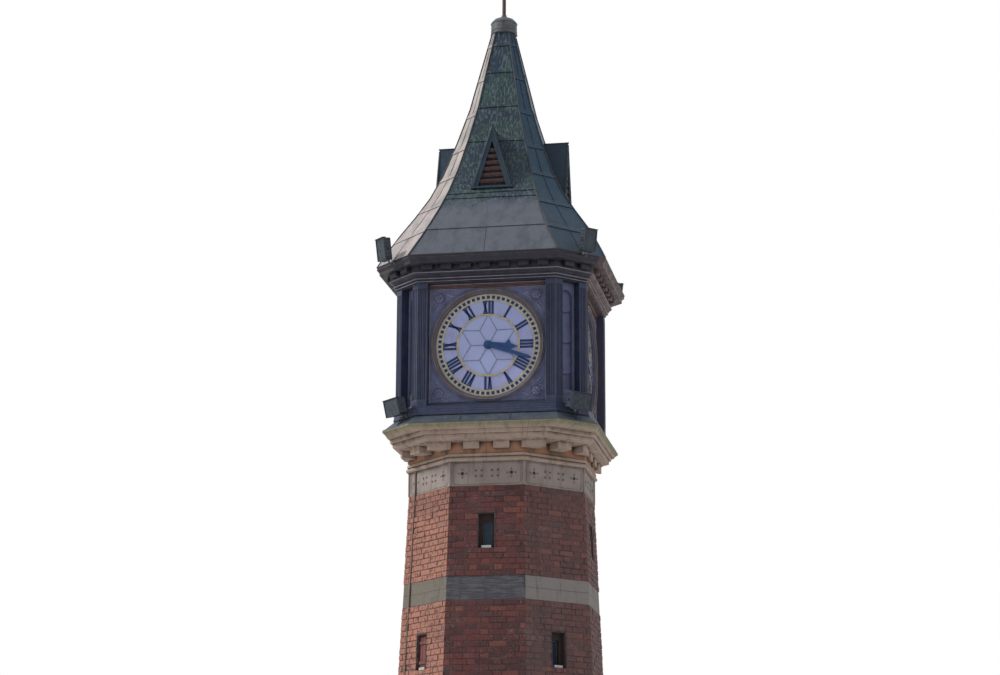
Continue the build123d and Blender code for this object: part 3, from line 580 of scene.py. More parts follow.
# What most paints share, and the looks of each
paintDefaults = {
    "streakAmount": 0.45, "dirtAndShadeAmount": 0.5, "wearAmount": 0.7, "patchScale": 6.0, "across": 40.0,
    "along": 6.0, "dirtAndShadeReach": 0.02, "edge": 0.002, "rough": (0.5, 0.75), "metallic": 0.0, "bump": 0.3,
}
paintLooks = {
    "lead": {
        "paint": (0.044, 0.06, 0.088), "patch": (0.062, 0.076, 0.1), "streak": (0.1, 0.106, 0.098),
        "dirtAndShade": (0.03, 0.032, 0.03), "wear": (0.18, 0.19, 0.21), "streakAmount": 0.5, "dirtAndShadeAmount": 0.6,
        "patchScale": 4.0, "across": 14.0, "along": 3.0, "dirtAndShadeReach": 0.08, "edge": 0.01,
        "rough": (0.55, 0.8), "metallic": 0.2, "bump": 0.35,
    },
    "stage_paint": {
        "paint": (0.02, 0.031, 0.072), "patch": (0.034, 0.042, 0.084), "streak": (0.068, 0.07, 0.108),
        "dirtAndShade": (0.006, 0.008, 0.015), "wear": (0.13, 0.125, 0.155), "right": (0.075, 0.055, 0.075),
        "streakAmount": 0.4, "dirtAndShadeAmount": 0.6, "wearAmount": 0.8, "patchScale": 5.0, "across": 16.0,
        "along": 1.4, "dirtAndShadeReach": 0.05, "edge": 0.006, "rough": (0.5, 0.78), "rightAmount": 0.4,
    },
    "panel_paint": {
        "paint": (0.118, 0.132, 0.25), "patch": (0.086, 0.098, 0.19), "streak": (0.18, 0.18, 0.26),
        "dirtAndShade": (0.015, 0.017, 0.032), "wear": (0.23, 0.21, 0.27), "dirtAndShadeAmount": 0.8, "across": 22.0,
        "along": 3.0, "dirtAndShadeReach": 0.06, "edge": 0.005,
    },
    "niche_paint": {
        "paint": (0.125, 0.14, 0.255), "patch": (0.095, 0.108, 0.205), "streak": (0.17, 0.165, 0.25),
        "dirtAndShade": (0.015, 0.017, 0.032), "wear": (0.23, 0.21, 0.27), "dirtAndShadeAmount": 0.35, "across": 22.0,
        "along": 3.0, "dirtAndShadeReach": 0.03, "edge": 0.005,
    },
    # A lighter paint for beads, a painted highlight where they catch the light
    "bead_highlight_paint": {
        "paint": (0.185, 0.19, 0.265), "patch": (0.13, 0.135, 0.19), "streak": (0.24, 0.215, 0.24),
        "dirtAndShade": (0.02, 0.022, 0.035), "wear": (0.32, 0.3, 0.33), "right": (0.2, 0.125, 0.12),
        "patchScale": 8.0, "across": 22.0, "rough": (0.45, 0.7), "bump": 0.25, "rightAmount": 0.6,
    },
    "relief_paint": {
        "paint": (0.155, 0.165, 0.275), "patch": (0.115, 0.125, 0.215), "streak": (0.22, 0.205, 0.28),
        "dirtAndShade": (0.012, 0.014, 0.028), "wear": (0.32, 0.3, 0.37), "dirtAndShadeAmount": 0.9, "wearAmount": 0.8,
        "patchScale": 8.0, "across": 22.0, "dirtAndShadeReach": 0.03, "edge": 0.003, "rough": (0.45, 0.7),
        "bump": 0.25,
    },
    "chapter_paint": {
        "paint": (0.46, 0.44, 0.36), "patch": (0.35, 0.33, 0.275), "streak": (0.3, 0.285, 0.27),
        "dirtAndShade": (0.07, 0.062, 0.05), "wear": (0.42, 0.38, 0.28), "wearAmount": 0.6, "patchScale": 16.0,
        "across": 36.0, "dirtAndShadeReach": 0.012, "rough": (0.4, 0.65), "metallic": 0.15, "bump": 0.2,
    },
    "rod_iron": {
        "paint": (0.06, 0.036, 0.042), "patch": (0.085, 0.05, 0.048), "streak": (0.12, 0.065, 0.05),
        "dirtAndShade": (0.02, 0.014, 0.016), "wear": (0.16, 0.11, 0.1), "streakAmount": 0.4, "wearAmount": 0.5,
        "patchScale": 9.0, "across": 30.0, "along": 4.0, "dirtAndShadeReach": 0.03, "edge": 0.003, "metallic": 0.2,
        "bump": 0.4,
    },
    "hip_metal": {
        "paint": (0.022, 0.028, 0.038), "patch": (0.036, 0.044, 0.052), "streak": (0.06, 0.066, 0.072),
        "dirtAndShade": (0.01, 0.012, 0.016), "wear": (0.075, 0.08, 0.085), "streakAmount": 0.4, "wearAmount": 0.5,
        "across": 20.0, "along": 2.0, "dirtAndShadeReach": 0.03, "edge": 0.003, "rough": (0.6, 0.8),
        "metallic": 0.1,
    },
    "lucarne_metal": {
        "paint": (0.014, 0.03, 0.056), "patch": (0.024, 0.046, 0.062), "streak": (0.055, 0.072, 0.095),
        "dirtAndShade": (0.01, 0.014, 0.02), "wear": (0.14, 0.15, 0.16), "dirtAndShadeAmount": 0.6, "wearAmount": 0.6,
        "patchScale": 4.0, "across": 34.0, "along": 2.4, "dirtAndShadeReach": 0.05, "edge": 0.006, "metallic": 0.1,
        "bump": 0.35,
    },
    "ring_paint": {
        "paint": (0.105, 0.09, 0.105), "patch": (0.08, 0.066, 0.074), "streak": (0.16, 0.105, 0.098),
        "dirtAndShade": (0.022, 0.018, 0.022), "wear": (0.23, 0.2, 0.21), "dirtAndShadeAmount": 0.7, "wearAmount": 0.8,
        "patchScale": 4.0, "across": 16.0, "along": 5.0, "dirtAndShadeReach": 0.025, "edge": 0.004, "bump": 0.25,
    },
    "eaves_paint": {
        "paint": (0.021, 0.023, 0.038), "patch": (0.038, 0.034, 0.045), "streak": (0.07, 0.06, 0.068),
        "dirtAndShade": (0.005, 0.005, 0.009), "wear": (0.13, 0.12, 0.135), "right": (0.125, 0.08, 0.078),
        "streakAmount": 0.4, "dirtAndShadeAmount": 0.9, "wearAmount": 0.8, "across": 9.0, "along": 14.0,
        "dirtAndShadeReach": 0.07, "edge": 0.004, "rough": (0.5, 0.78), "rightAmount": 0.6,
    },
    "render_cement": {
        "paint": (0.072, 0.05, 0.055), "patch": (0.042, 0.03, 0.036), "streak": (0.05, 0.04, 0.045),
        "dirtAndShade": (0.02, 0.015, 0.018), "wear": (0.15, 0.12, 0.12), "streakAmount": 0.5, "dirtAndShadeAmount": 0.7,
        "wearAmount": 0.5, "patchScale": 14.0, "across": 20.0, "dirtAndShadeReach": 0.04, "edge": 0.003,
        "rough": (0.85, 0.97), "bump": 0.8,
    },
    "board_red": {
        "paint": (0.15, 0.05, 0.046), "patch": (0.095, 0.038, 0.04), "streak": (0.22, 0.11, 0.09),
        "dirtAndShade": (0.03, 0.014, 0.016), "wear": (0.25, 0.17, 0.14), "streakAmount": 0.4, "dirtAndShadeAmount": 0.6,
        "wearAmount": 0.6, "patchScale": 10.0, "along": 5.0, "dirtAndShadeReach": 0.04, "edge": 0.003,
        "rough": (0.75, 0.92), "bump": 0.5,
    },
    "rail_paint": {
        "paint": (0.155, 0.066, 0.055), "patch": (0.095, 0.05, 0.048), "streak": (0.2, 0.125, 0.11),
        "dirtAndShade": (0.02, 0.015, 0.016), "wear": (0.28, 0.2, 0.18), "streakAmount": 0.5, "dirtAndShadeAmount": 0.7,
        "patchScale": 9.0, "across": 8.0, "along": 40.0, "dirtAndShadeReach": 0.04, "edge": 0.003,
        "rough": (0.6, 0.85), "bump": 0.35,
    },
    "cap_metal": {
        "paint": (0.05, 0.06, 0.072), "patch": (0.085, 0.095, 0.105), "streak": (0.13, 0.14, 0.14),
        "dirtAndShade": (0.02, 0.02, 0.022), "wear": (0.24, 0.25, 0.25), "streakAmount": 0.5, "dirtAndShadeAmount": 0.6,
        "wearAmount": 0.6, "patchScale": 9.0, "across": 30.0, "along": 2.0, "dirtAndShadeReach": 0.05,
        "edge": 0.005, "rough": (0.4, 0.7), "metallic": 0.3, "bump": 0.25,
    },
    "louvre_paint": {
        "paint": (0.105, 0.06, 0.066), "patch": (0.07, 0.048, 0.056), "streak": (0.16, 0.11, 0.105),
        "dirtAndShade": (0.012, 0.01, 0.012), "wear": (0.24, 0.2, 0.18), "streakAmount": 0.5, "dirtAndShadeAmount": 0.6,
        "wearAmount": 0.6, "patchScale": 12.0, "along": 8.0, "dirtAndShadeReach": 0.04, "rough": (0.6, 0.85),
        "bump": 0.35,
    },
    "hand_paint": {
        "paint": (0.012, 0.048, 0.16), "patch": (0.017, 0.06, 0.185), "streak": (0.035, 0.08, 0.2),
        "dirtAndShade": (0.006, 0.012, 0.035), "wear": (0.08, 0.12, 0.19), "streakAmount": 0.3, "dirtAndShadeAmount": 0.4,
        "wearAmount": 0.35, "patchScale": 14.0, "along": 9.0, "rough": (0.35, 0.55), "bump": 0.15,
    },
    "numeral_paint": {
        "paint": (0.01, 0.026, 0.095), "patch": (0.016, 0.036, 0.115), "streak": (0.05, 0.066, 0.14),
        "dirtAndShade": (0.015, 0.018, 0.035), "wear": (0.12, 0.13, 0.18), "streakAmount": 0.3, "dirtAndShadeAmount": 0.3,
        "wearAmount": 0.3, "patchScale": 14.0, "along": 9.0, "edge": 0.001, "rough": (0.4, 0.6),
        "bump": 0.15,
    },
    "gilt": {
        "paint": (0.5, 0.44, 0.28), "patch": (0.36, 0.32, 0.22), "streak": (0.32, 0.3, 0.25),
        "dirtAndShade": (0.08, 0.07, 0.055), "wear": (0.62, 0.53, 0.32), "patchScale": 16.0, "across": 36.0,
        "dirtAndShadeReach": 0.012, "rough": (0.36, 0.6), "metallic": 0.35, "bump": 0.2,
    },
    "frame_paint": {
        "paint": (0.055, 0.062, 0.08), "patch": (0.08, 0.08, 0.092), "streak": (0.14, 0.125, 0.12),
        "dirtAndShade": (0.015, 0.015, 0.018), "wear": (0.2, 0.19, 0.18), "streakAmount": 0.4, "dirtAndShadeAmount": 0.7,
        "wearAmount": 0.5, "patchScale": 12.0, "along": 5.0, "dirtAndShadeReach": 0.03, "bump": 0.25,
    },
    "lamp_metal": {
        "paint": (0.018, 0.026, 0.044), "patch": (0.03, 0.039, 0.056), "streak": (0.065, 0.072, 0.08),
        "dirtAndShade": (0.008, 0.008, 0.01), "wear": (0.17, 0.17, 0.18), "streakAmount": 0.4, "wearAmount": 0.6,
        "patchScale": 10.0, "dirtAndShadeReach": 0.03, "edge": 0.003, "rough": (0.4, 0.65), "metallic": 0.2,
    },
    "bracket_metal": {
        "paint": (0.2, 0.21, 0.23), "patch": (0.14, 0.145, 0.155), "streak": (0.2, 0.14, 0.1),
        "dirtAndShade": (0.05, 0.04, 0.035), "wear": (0.34, 0.35, 0.36), "streakAmount": 0.3, "wearAmount": 0.5,
        "patchScale": 18.0, "across": 50.0, "along": 9.0, "rough": (0.45, 0.65), "metallic": 0.5,
        "bump": 0.2,
    },
    "door_iron": {
        "paint": (0.03, 0.03, 0.033), "patch": (0.055, 0.045, 0.04), "streak": (0.12, 0.07, 0.045),
        "dirtAndShade": (0.01, 0.01, 0.01), "wear": (0.15, 0.14, 0.13), "streakAmount": 0.35, "patchScale": 18.0,
        "across": 50.0, "along": 12.0, "metallic": 0.3, "bump": 0.4,
    },
    "cable_grey": {
        "paint": (0.15, 0.108, 0.095), "patch": (0.19, 0.14, 0.12), "streak": (0.08, 0.062, 0.058),
        "dirtAndShade": (0.02, 0.018, 0.018), "wear": (0.2, 0.17, 0.15), "streakAmount": 0.5, "wearAmount": 0.4,
        "patchScale": 8.0, "across": 30.0, "along": 3.0, "rough": (0.6, 0.8), "bump": 0.2,
    },
    # Dark paint for the shade inside holes and behind the louvres
    "painted_shade_dark": {
        "paint": (0.03, 0.024, 0.026), "patch": (0.055, 0.045, 0.045), "streak": (0.02, 0.016, 0.018),
        "dirtAndShade": (0.01, 0.01, 0.01), "wear": (0.08, 0.07, 0.065), "streakAmount": 0.5, "dirtAndShadeAmount": 0.4,
        "wearAmount": 0.2, "patchScale": 30.0, "across": 30.0, "along": 9.0, "edge": 0.001,
        "rough": (0.85, 0.98),
    },
}
for name, look in paintLooks.items():
    materials[name] = paintMaterial(name, {**paintDefaults, **look})


# Spire sheeting: dark above, pale on the bell-cast foot with chalking and painted sunlight, each sheet in
# its own tone; painted sunlight lightens the left slopes and painted shade darkens the right ones
def spireMaterial():
    look = {
        "paint": (0.018, 0.033, 0.058), "green": (0.030, 0.062, 0.058), "streak": (0.100, 0.140, 0.150),
        # cream is painted sunlight on the left slopes, and right is painted shade on the right slopes
        "pale": (0.128, 0.130, 0.170), "cream": (0.46, 0.40, 0.385), "right": (0.008, 0.038, 0.082),
        "dirtAndShade": (0.010, 0.014, 0.020), "wear": (0.12, 0.13, 0.14), "paleFoot": 11.40, "paleTop": 11.71,
    }
    material, tree, shader, place = startMaterial("spire_metal")
    sheets = placeGroup(tree, jointGroup, place, count=8.0, width=0.004, course=0.556, foot=10.66)
    streaks = placeGroup(tree, streakGroup, place, across=46.0, along=2.4, low=0.51, high=0.58)["Mask"]
    wide = placeGroup(tree, streakGroup, place, across=7.0, along=0.8, low=0.44, high=0.68)["Mask"]
    patches = placeGroup(tree, patchGroup, place, scale=2.4, detail=8, low=0.42, high=0.64)["Mask"]
    sides = placeGroup(tree, sideGroup, place, edge=0.62, blend=0.03)
    # Grime with painted shade in hollows and corners
    dirtAndShade = placeGroup(tree, dirtAndShadeGroup, place, distance=0.07)["Mask"]
    wear = placeGroup(tree, wearGroup, place, radius=0.008, breakup=55.0, amount=0.6)
    ragged = addNoise(tree, place, 5.0, 6, 0.65)
    fine = addNoise(tree, place, 190.0, 5, 0.7)
    dents = addNoise(tree, place, 3.2, 3)
    level = addMath(tree, "MULTIPLY_ADD", ragged, 0.5, splitVector(tree, place)["Z"])
    chalkAndSunOnFoot = addRange(tree, level, look["paleTop"], look["paleFoot"], smooth=True)
    # The pale foot is chalking with painted sunlight, mostly kept off the right slopes
    chalkAndSunOffRight = addMath(tree, "MULTIPLY", chalkAndSunOnFoot, addRange(tree, sides["Right"], start=1, end=0.12))
    # Painted sunlight: cream on the left slopes, in cloudy patches
    cloudy = addRange(tree, ragged, 0.25, 0.6, 0.45, 1.0)
    paintedSunOnLeft = addMath(tree, "MULTIPLY", sides["Left"], cloudy)
    # Streaks show less on the right slopes, which are in painted shade
    lit = addMath(tree, "MULTIPLY_ADD", sides["Right"], -0.35, 0.7)
    streaksDimmedInShade = addMath(tree, "MULTIPLY", streaks, lit)
    # The right slopes are painted dark blue as painted shade
    layColours(tree, shader, look["paint"], [
        (patches, look["green"], 1.0), (sheets["Tone"], look["dirtAndShade"], 0.3), (chalkAndSunOffRight, look["pale"], 0.75),
        (sides["Right"], look["right"], 0.85), (streaksDimmedInShade, look["streak"], 1.0),
        (paintedSunOnLeft, look["cream"], 0.75), (wide, look["dirtAndShade"], 0.28), (dirtAndShade, look["dirtAndShade"], 0.6),
        (wear["Mask"], look["wear"], 0.5)])
    setRoughness(tree, shader, streaks, 0.42, 0.7)
    shader.inputs["Metallic"].default_value = 0.15
    shader.inputs["Specular IOR Level"].default_value = 0.2
    addBump(tree, shader, addMath(tree, "MULTIPLY_ADD", dents, 6.0, fine), 0.35, 0.004, wear["Normal"])
    return material


# Boards, for the door and the clock room's floor
def boardMaterial(name, look):
    material, tree, shader, place = startMaterial(name)
    grain = addNoise(tree, vectorMath(tree, "MULTIPLY", place, look["stretch"])["Vector"], 1.0, 7, 0.65)
    patches = placeGroup(tree, patchGroup, place, scale=4.0, detail=7)["Mask"]
    # Grime with painted shade in hollows and corners
    dirtAndShade = placeGroup(tree, dirtAndShadeGroup, place, distance=0.05)["Mask"]
    layColours(tree, shader, look["light"], [
        (grain, look["dark"], 1.0), (patches, look["patch"], 0.4), (dirtAndShade, look["dirtAndShade"], 0.7)])
    setRoughness(tree, shader, grain, *look["rough"])
    addBump(tree, shader, grain, 0.5, 0.002)
    return material


boardLooks = {
    "door_paint": {
        "light": (0.060, 0.066, 0.078), "dark": (0.035, 0.040, 0.050), "patch": (0.09, 0.09, 0.09),
        "dirtAndShade": (0.02, 0.02, 0.02), "stretch": (90.0, 90.0, 4.0), "rough": (0.45, 0.7)},
    "floor_boards": {
        "light": (0.28, 0.20, 0.13), "dark": (0.15, 0.10, 0.065), "patch": (0.2, 0.17, 0.13),
        "dirtAndShade": (0.05, 0.04, 0.03), "stretch": (5.0, 90.0, 90.0), "rough": (0.65, 0.9)},
}
for name, look in boardLooks.items():
    materials[name] = boardMaterial(name, look)

# The dials as the solids have them
dial = {
    "centre": 9.2957, "glass": 1.128, "chapterOuter": 0.7007, "chapterInner": 0.6087, "innerOuter": 0.4262,
    "innerInner": 0.4042, "panel": 1.173, "panelHalf": 0.7927, "panelFoot": 8.464, "panelTop": 10.1334,
}


def opalMaterial():
    look = {
        "clean": (0.285, 0.330, 0.62), "bright": (0.315, 0.385, 0.68), "patch": (0.25, 0.265, 0.50),
        "stain": (0.36, 0.25, 0.27), "dust": (0.36, 0.34, 0.46), "rim": (0.16, 0.16, 0.22),
    }
    material, tree, shader, place = startMaterial("opal_glass")
    where = placeGroup(tree, dialGroup, place, centre=dial["centre"])
    middle = addRange(tree, where["Radius"], 0.42, 0.36)
    rim = addRange(tree, where["Radius"], 0.58, 0.70)
    low = addRange(tree, where["Height"], 0.05, -0.35)
    patches = placeGroup(tree, patchGroup, place, scale=3.2, detail=4, low=0.4, high=0.66)["Mask"]
    stains = placeGroup(tree, patchGroup, place, scale=3.6, detail=6, low=0.5, high=0.66)["Mask"]
    streaks = placeGroup(tree, streakGroup, place, across=24.0, along=3.0, low=0.5, high=0.7)["Mask"]
    stained = addMath(tree, "MULTIPLY", stains, low)
    layColours(tree, shader, look["clean"], [
        (patches, look["patch"], 1.0), (middle, look["bright"], 0.55), (stained, look["stain"], 0.45),
        (streaks, look["dust"], 0.35), (rim, look["rim"], 0.4)])
    setRoughness(tree, shader, streaks, 0.16, 0.34)
    shader.inputs["Coat Weight"].default_value = 0.3
    shader.inputs["Coat Roughness"].default_value = 0.08
    return material


def barMaterial():
    # The star's bars are dull grey, and the ring round them is gilt as the chapter ring is
    look = {"gilt": (0.50, 0.42, 0.24), "giltDark": (0.30, 0.25, 0.17), "grey": (0.16, 0.18, 0.29),
            "greyDark": (0.12, 0.135, 0.23)}
    material, tree, shader, place = startMaterial("centreBars")
    where = placeGroup(tree, dialGroup, place, centre=dial["centre"])
    ring = addRange(tree, where["Radius"], 0.400, 0.404)
    spots = placeGroup(tree, patchGroup, place, scale=24.0, detail=6, low=0.42, high=0.62)["Mask"]
    metal = mixColour(tree, spots, look["gilt"], look["giltDark"])
    dull = mixColour(tree, spots, look["grey"], look["greyDark"])
    layColours(tree, shader, dull, [(ring, metal, 1.0)])
    setRoughness(tree, shader, spots, 0.4, 0.65)
    shader.inputs["Metallic"].default_value = 0.2
    return material


def windowMaterial():
    look = {"glass": (0.014, 0.042, 0.080), "film": (0.035, 0.062, 0.085)}
    material, tree, shader, place = startMaterial("window_glass")
    film = placeGroup(tree, patchGroup, place, scale=12.0, detail=6, low=0.45, high=0.7)["Mask"]
    layColours(tree, shader, look["glass"], [(film, look["film"], 1.0)])
    setRoughness(tree, shader, film, 0.2, 0.4)
    shader.inputs["Specular IOR Level"].default_value = 0.2
    return material


def lampGlassMaterial():
    look = {"clear": (0.012, 0.022, 0.034), "dust": (0.034, 0.046, 0.060)}
    material, tree, shader, place = startMaterial("lampGlass")
    dust = placeGroup(tree, patchGroup, place, scale=16.0, detail=7, low=0.4, high=0.66)["Mask"]
    ribs = addNode(tree, "ShaderNodeTexWave", {"Vector": place, "Scale": 22.0, "Distortion": 0.3},
                   bands_direction="Z").outputs["Fac"]
    layColours(tree, shader, look["clear"], [(dust, look["dust"], 1.0)])
    setRoughness(tree, shader, dust, 0.25, 0.5)
    shader.inputs["Specular IOR Level"].default_value = 0.3
    addBump(tree, shader, ribs, 0.3, 0.002)
    return material


materials["spire_metal"] = spireMaterial()
materials["opal_glass"] = opalMaterial()
materials["centreBars"] = barMaterial()
materials["window_glass"] = windowMaterial()
materials["lampGlass"] = lampGlassMaterial()

# Every CAD node takes the material of its slot, or one of its own
nodeSlots = {part["node"]: part["material_slot"] for part in frame["record"]["subparts"]}
nodeMaterials = {
    "centre_bars": "centreBars", "dial_panels": "panel_paint", "panel_roundels": "panel_paint",
    "niche_panels": "niche_paint", "niche_plates": "niche_paint", "head_rails": "rail_paint",
    "eaves_bed_mould": "eaves_paint", "eaves_dentils": "eaves_paint", "eaves_corona": "eaves_paint",
    "stone_frieze": "frieze_stone", "chapter_rings": "chapter_paint", "finial_rod": "rod_iron",
    "lucarnes": "lucarne_metal", **{f"dial_ring_{sideName}": "ring_paint" for sideName in sideNames},
}
for node, piece in frame["nodes"].items():
    for slot in piece.material_slots:
        slot.material = materials[nodeMaterials.get(node, nodeSlots[node])]
print("materials ready")


def shaftFace(number, z):
    # Distance from the axis and half width of one face of the shaft at a height
    scale = 1 + shaft["batter"] * max(shaft["brickTop"] - z, 0) / shaft["half"]
    return octagonFace(shaft["half"] * scale, shaft["cut"] * scale, number)


def onShaft(number, z):
    # A place on a face of the shaft, leaning as the brickwork does
    return atFace(number, shaftFace(number, z)[0], z) @ Matrix.Rotation(-shaftTilt, 4, "X")


# Bricks in Flemish bond, standing a little proud of the mortar
brickwork = {
    "course": 0.075, "joint": 0.010, "stretcher": 0.215, "header": 0.1025, "proud": 0.007, "depth": 0.012,
    "rounding": 0.0035, "shift": 0.0028, "slip": 0.002, "spalled": 0.06, "spalledProud": 0.0015,
    "chipped": 0.0024, "shortest": 0.03, "narrowest": 0.018, "lowest": 0.012,
}
# Window reveals: face numbers, foot, head and half width
reveals = {
    "upper": {"faces": mainSides, "foot": 6.577, "head": 7.033, "half": 0.106},
    "middle": {"faces": cornerSides, "foot": 5.048, "head": 5.504, "half": 0.106},
}


def brickRow(half, course):
    # Start and end of each brick in a course, laid out from the middle of the wall
    stretcher, header, joint = brickwork["stretcher"], brickwork["header"], brickwork["joint"]
    pitch = stretcher + header + 2 * joint
    middle = stretcher / 2 + joint if course % 2 else -header / 2
    start = middle - joint - stretcher if course % 2 else middle
    start -= pitch * (floor((start + half) / pitch) + 1)
    ends = []
    while start < half:
        for length in ((stretcher, header) if course % 2 else (header, stretcher)):
            low, high = max(start, -half), min(start + length, half)
            if high - low > brickwork["shortest"]:
                ends.append([low, high])
            elif high > low and ends:
                ends[-1][1] = high
            start += length + joint
    ends[0][0] = -half
    ends[-1][1] = half
    return ends


def cutBrick(brick, hole):
    # What is left of a brick (start, end, foot, head) beside, under and over a hole
    start, end, foot, head = brick
    left, right, low, high = hole
    if end <= left or start >= right or head <= low or foot >= high:
        return [brick]
    inner, outer = max(start, left), min(end, right)
    rest = [(start, left, foot, head), (right, end, foot, head), (inner, outer, foot, low),
            (inner, outer, high, head)]
    return [piece for piece in rest
            if piece[1] - piece[0] > brickwork["narrowest"] and piece[3] - piece[2] > brickwork["lowest"]]


def layBricks(name, faces, foot, head, opening=None):
    rng = random.Random(name)
    bm = bmesh.new()
    tone = bm.faces.layers.float.new("brickTone")
    edges = []
    courses = round((head - foot) / brickwork["course"])
    pitch = (head - foot) / courses
    joint = brickwork["joint"]

    def addBrick(number, brick):
        start, end, low, high = brick
        place = onShaft(number, (low + high) / 2)
        out = brickwork["proud"] + rng.uniform(-1, 1) * brickwork["shift"]
        spalled = rng.random() < brickwork["spalled"]
        if spalled:
            out = brickwork["spalledProud"]
        drop = min(rng.uniform(-1, 1) * brickwork["slip"], 0)
        tall = (high - low) / 2
        verts = addPlate(bm, (start, drop - tall), (end, drop + tall), out, brickwork["depth"], place)
        for vert in frontVerts(verts):
            vert.co += Vector([rng.uniform(-1, 1) * brickwork["chipped"] for _ in range(3)])
        value = 0.0 if spalled else rng.random()
        for face in {f for v in verts for f in v.link_faces}:
            face[tone] = value
        edges.extend(outerEdges(verts))

    for number in faces:
        for course in range(courses):
            low = foot + pitch * course + joint / 2
            high = foot + pitch * (course + 1) - joint / 2
            half = shaftFace(number, (low + high) / 2)[1] + brickwork["proud"] * mitre
            bricks = [(start, end, low, high) for start, end in brickRow(half, course)]
            if opening:
                hole = (-opening["half"], opening["half"], opening["foot"], opening["head"])
                bricks = [piece for brick in bricks for piece in cutBrick(brick, hole)]
            for brick in bricks:
                addBrick(number, brick)
    bevelEdges(bm, edges, brickwork["rounding"])
    return makePiece(bm, name, materials["brickFace"])


storeys = shaft["storeys"]
layBricks("bricksLowerMain", (2, 4, 6), *storeys["lower"])
layBricks("bricksLowerCorner", cornerSides, *storeys["lower"])
layBricks("bricksEntrance", (0,), shaft["entranceFoot"], storeys["lower"][1])
layBricks("bricksMiddleMain", mainSides, *storeys["middle"])
layBricks("bricksMiddleCorner", cornerSides, *storeys["middle"], reveals["middle"])
layBricks("bricksUpperMain", mainSides, *storeys["upper"], reveals["upper"])
layBricks("bricksUpperCorner", cornerSides, *storeys["upper"])
print("brickwork laid")

# Cement worked round each window opening
surround = {
    "width": 0.021, "out": 0.0095, "wobble": 0.009, "pieces": 7, "bed": 0.004, "headHeight": 0.0231,
    "headReach": 0.02, "rounding": 0.004,
}
rng = random.Random("surrounds")
bm = bmesh.new()
edges = []
for opening in reveals.values():
    half, foot, head = opening["half"], opening["foot"], opening["head"]
    tall = (head - foot) / 2
    step = 2 * tall / surround["pieces"]
    for number in opening["faces"]:
        place = onShaft(number, (foot + head) / 2)
        spans = []
        for side in (-1, 1):
            for index in range(surround["pieces"]):
                wide = surround["width"] + rng.uniform(-1, 1) * surround["wobble"]
                left, right = mirrored(side, half, half + wide)
                spans.append(((left, -tall + step * index), (right, -tall + step * (index + 1))))
        for side in (-1, 1):
            high = surround["headHeight"] + rng.uniform(-1, 1) * surround["wobble"]
            left, right = mirrored(side, 0, half + surround["headReach"])
            spans.append(((left, tall), (right, tall + high)))
        for low, high in spans:
            edges += outerEdges(addPlate(bm, low, high, surround["out"], surround["bed"], place))
bevelEdges(bm, edges, surround["rounding"])
makePiece(bm, "windowSurrounds", materials["render_cement"])

# Boards and two battens over the window at the front left
boarded = {
    "face": 7, "boards": 3, "setback": 0.035, "thickness": 0.022, "gap": 0.004, "fit": 0.004, "foot": 0.006,
    "uneven": 0.008, "head": 0.005, "battens": (-0.13, 0.13), "battenHalf": 0.02, "battenInset": 0.012,
    "battenThickness": 0.014, "battenBed": 0.001, "rounding": 0.002,
}
bm = bmesh.new()
edges = []
half, foot, head = (reveals["middle"][key] for key in ("half", "foot", "head"))
tall = (head - foot) / 2
place = onShaft(boarded["face"], (foot + head) / 2)
setback = boarded["setback"]
width = 2 * (half - boarded["fit"]) / boarded["boards"]
for index in range(boarded["boards"]):
    left = -half + boarded["fit"] + width * index
    low = (left + boarded["gap"] / 2, -tall + boarded["foot"] + boarded["uneven"] * (index % 2))
    high = (left + width - boarded["gap"] / 2, tall - boarded["head"])
    edges += outerEdges(addPlate(bm, low, high, -setback, setback + boarded["thickness"], place))
for z in boarded["battens"]:
    wide, tall = half - boarded["battenInset"], boarded["battenHalf"]
    verts = addPlate(bm, (-wide, z - tall), (wide, z + tall), boarded["battenThickness"] - setback,
                     setback + boarded["battenBed"], place)
    edges += outerEdges(verts)
bevelEdges(bm, edges, boarded["rounding"])
makePiece(bm, "boardedWindow", materials["board_red"])

# Door: planks cut to the arch
doorway = {
    "half": 0.3714, "fit": 0.004, "foot": 0.17, "spring": 1.80, "leaf": 1.3409, "planks": 6,
    "plankThickness": 0.010, "plankBed": 0.002, "plankFoot": 0.012, "gap": 0.004, "rounding": 0.003,
}
leafHalf = doorway["half"] - doorway["fit"]
leafPlace = atFace(0, doorway["leaf"])
plankWidth = 2 * leafHalf / doorway["planks"]
archRadius = leafHalf - doorway["gap"]
bm = bmesh.new()
edges = []
for index in range(doorway["planks"]):
    left = -leafHalf + plankWidth * index + doorway["gap"] / 2
    verts = addPlate(bm, (left, doorway["foot"] + doorway["plankFoot"]),
                     (left + plankWidth - doorway["gap"], doorway["spring"]),
                     doorway["plankThickness"], doorway["plankBed"], leafPlace)
    for vert in verts:
        if vert.co.z > doorway["spring"] - 0.01:
            vert.co.z = doorway["spring"] + sqrt(max(archRadius**2 - vert.co.x**2, 0))
    edges += outerEdges(verts)
bevelEdges(bm, edges, doorway["rounding"])
makePiece(bm, "doorPlanks", materials["door_paint"])

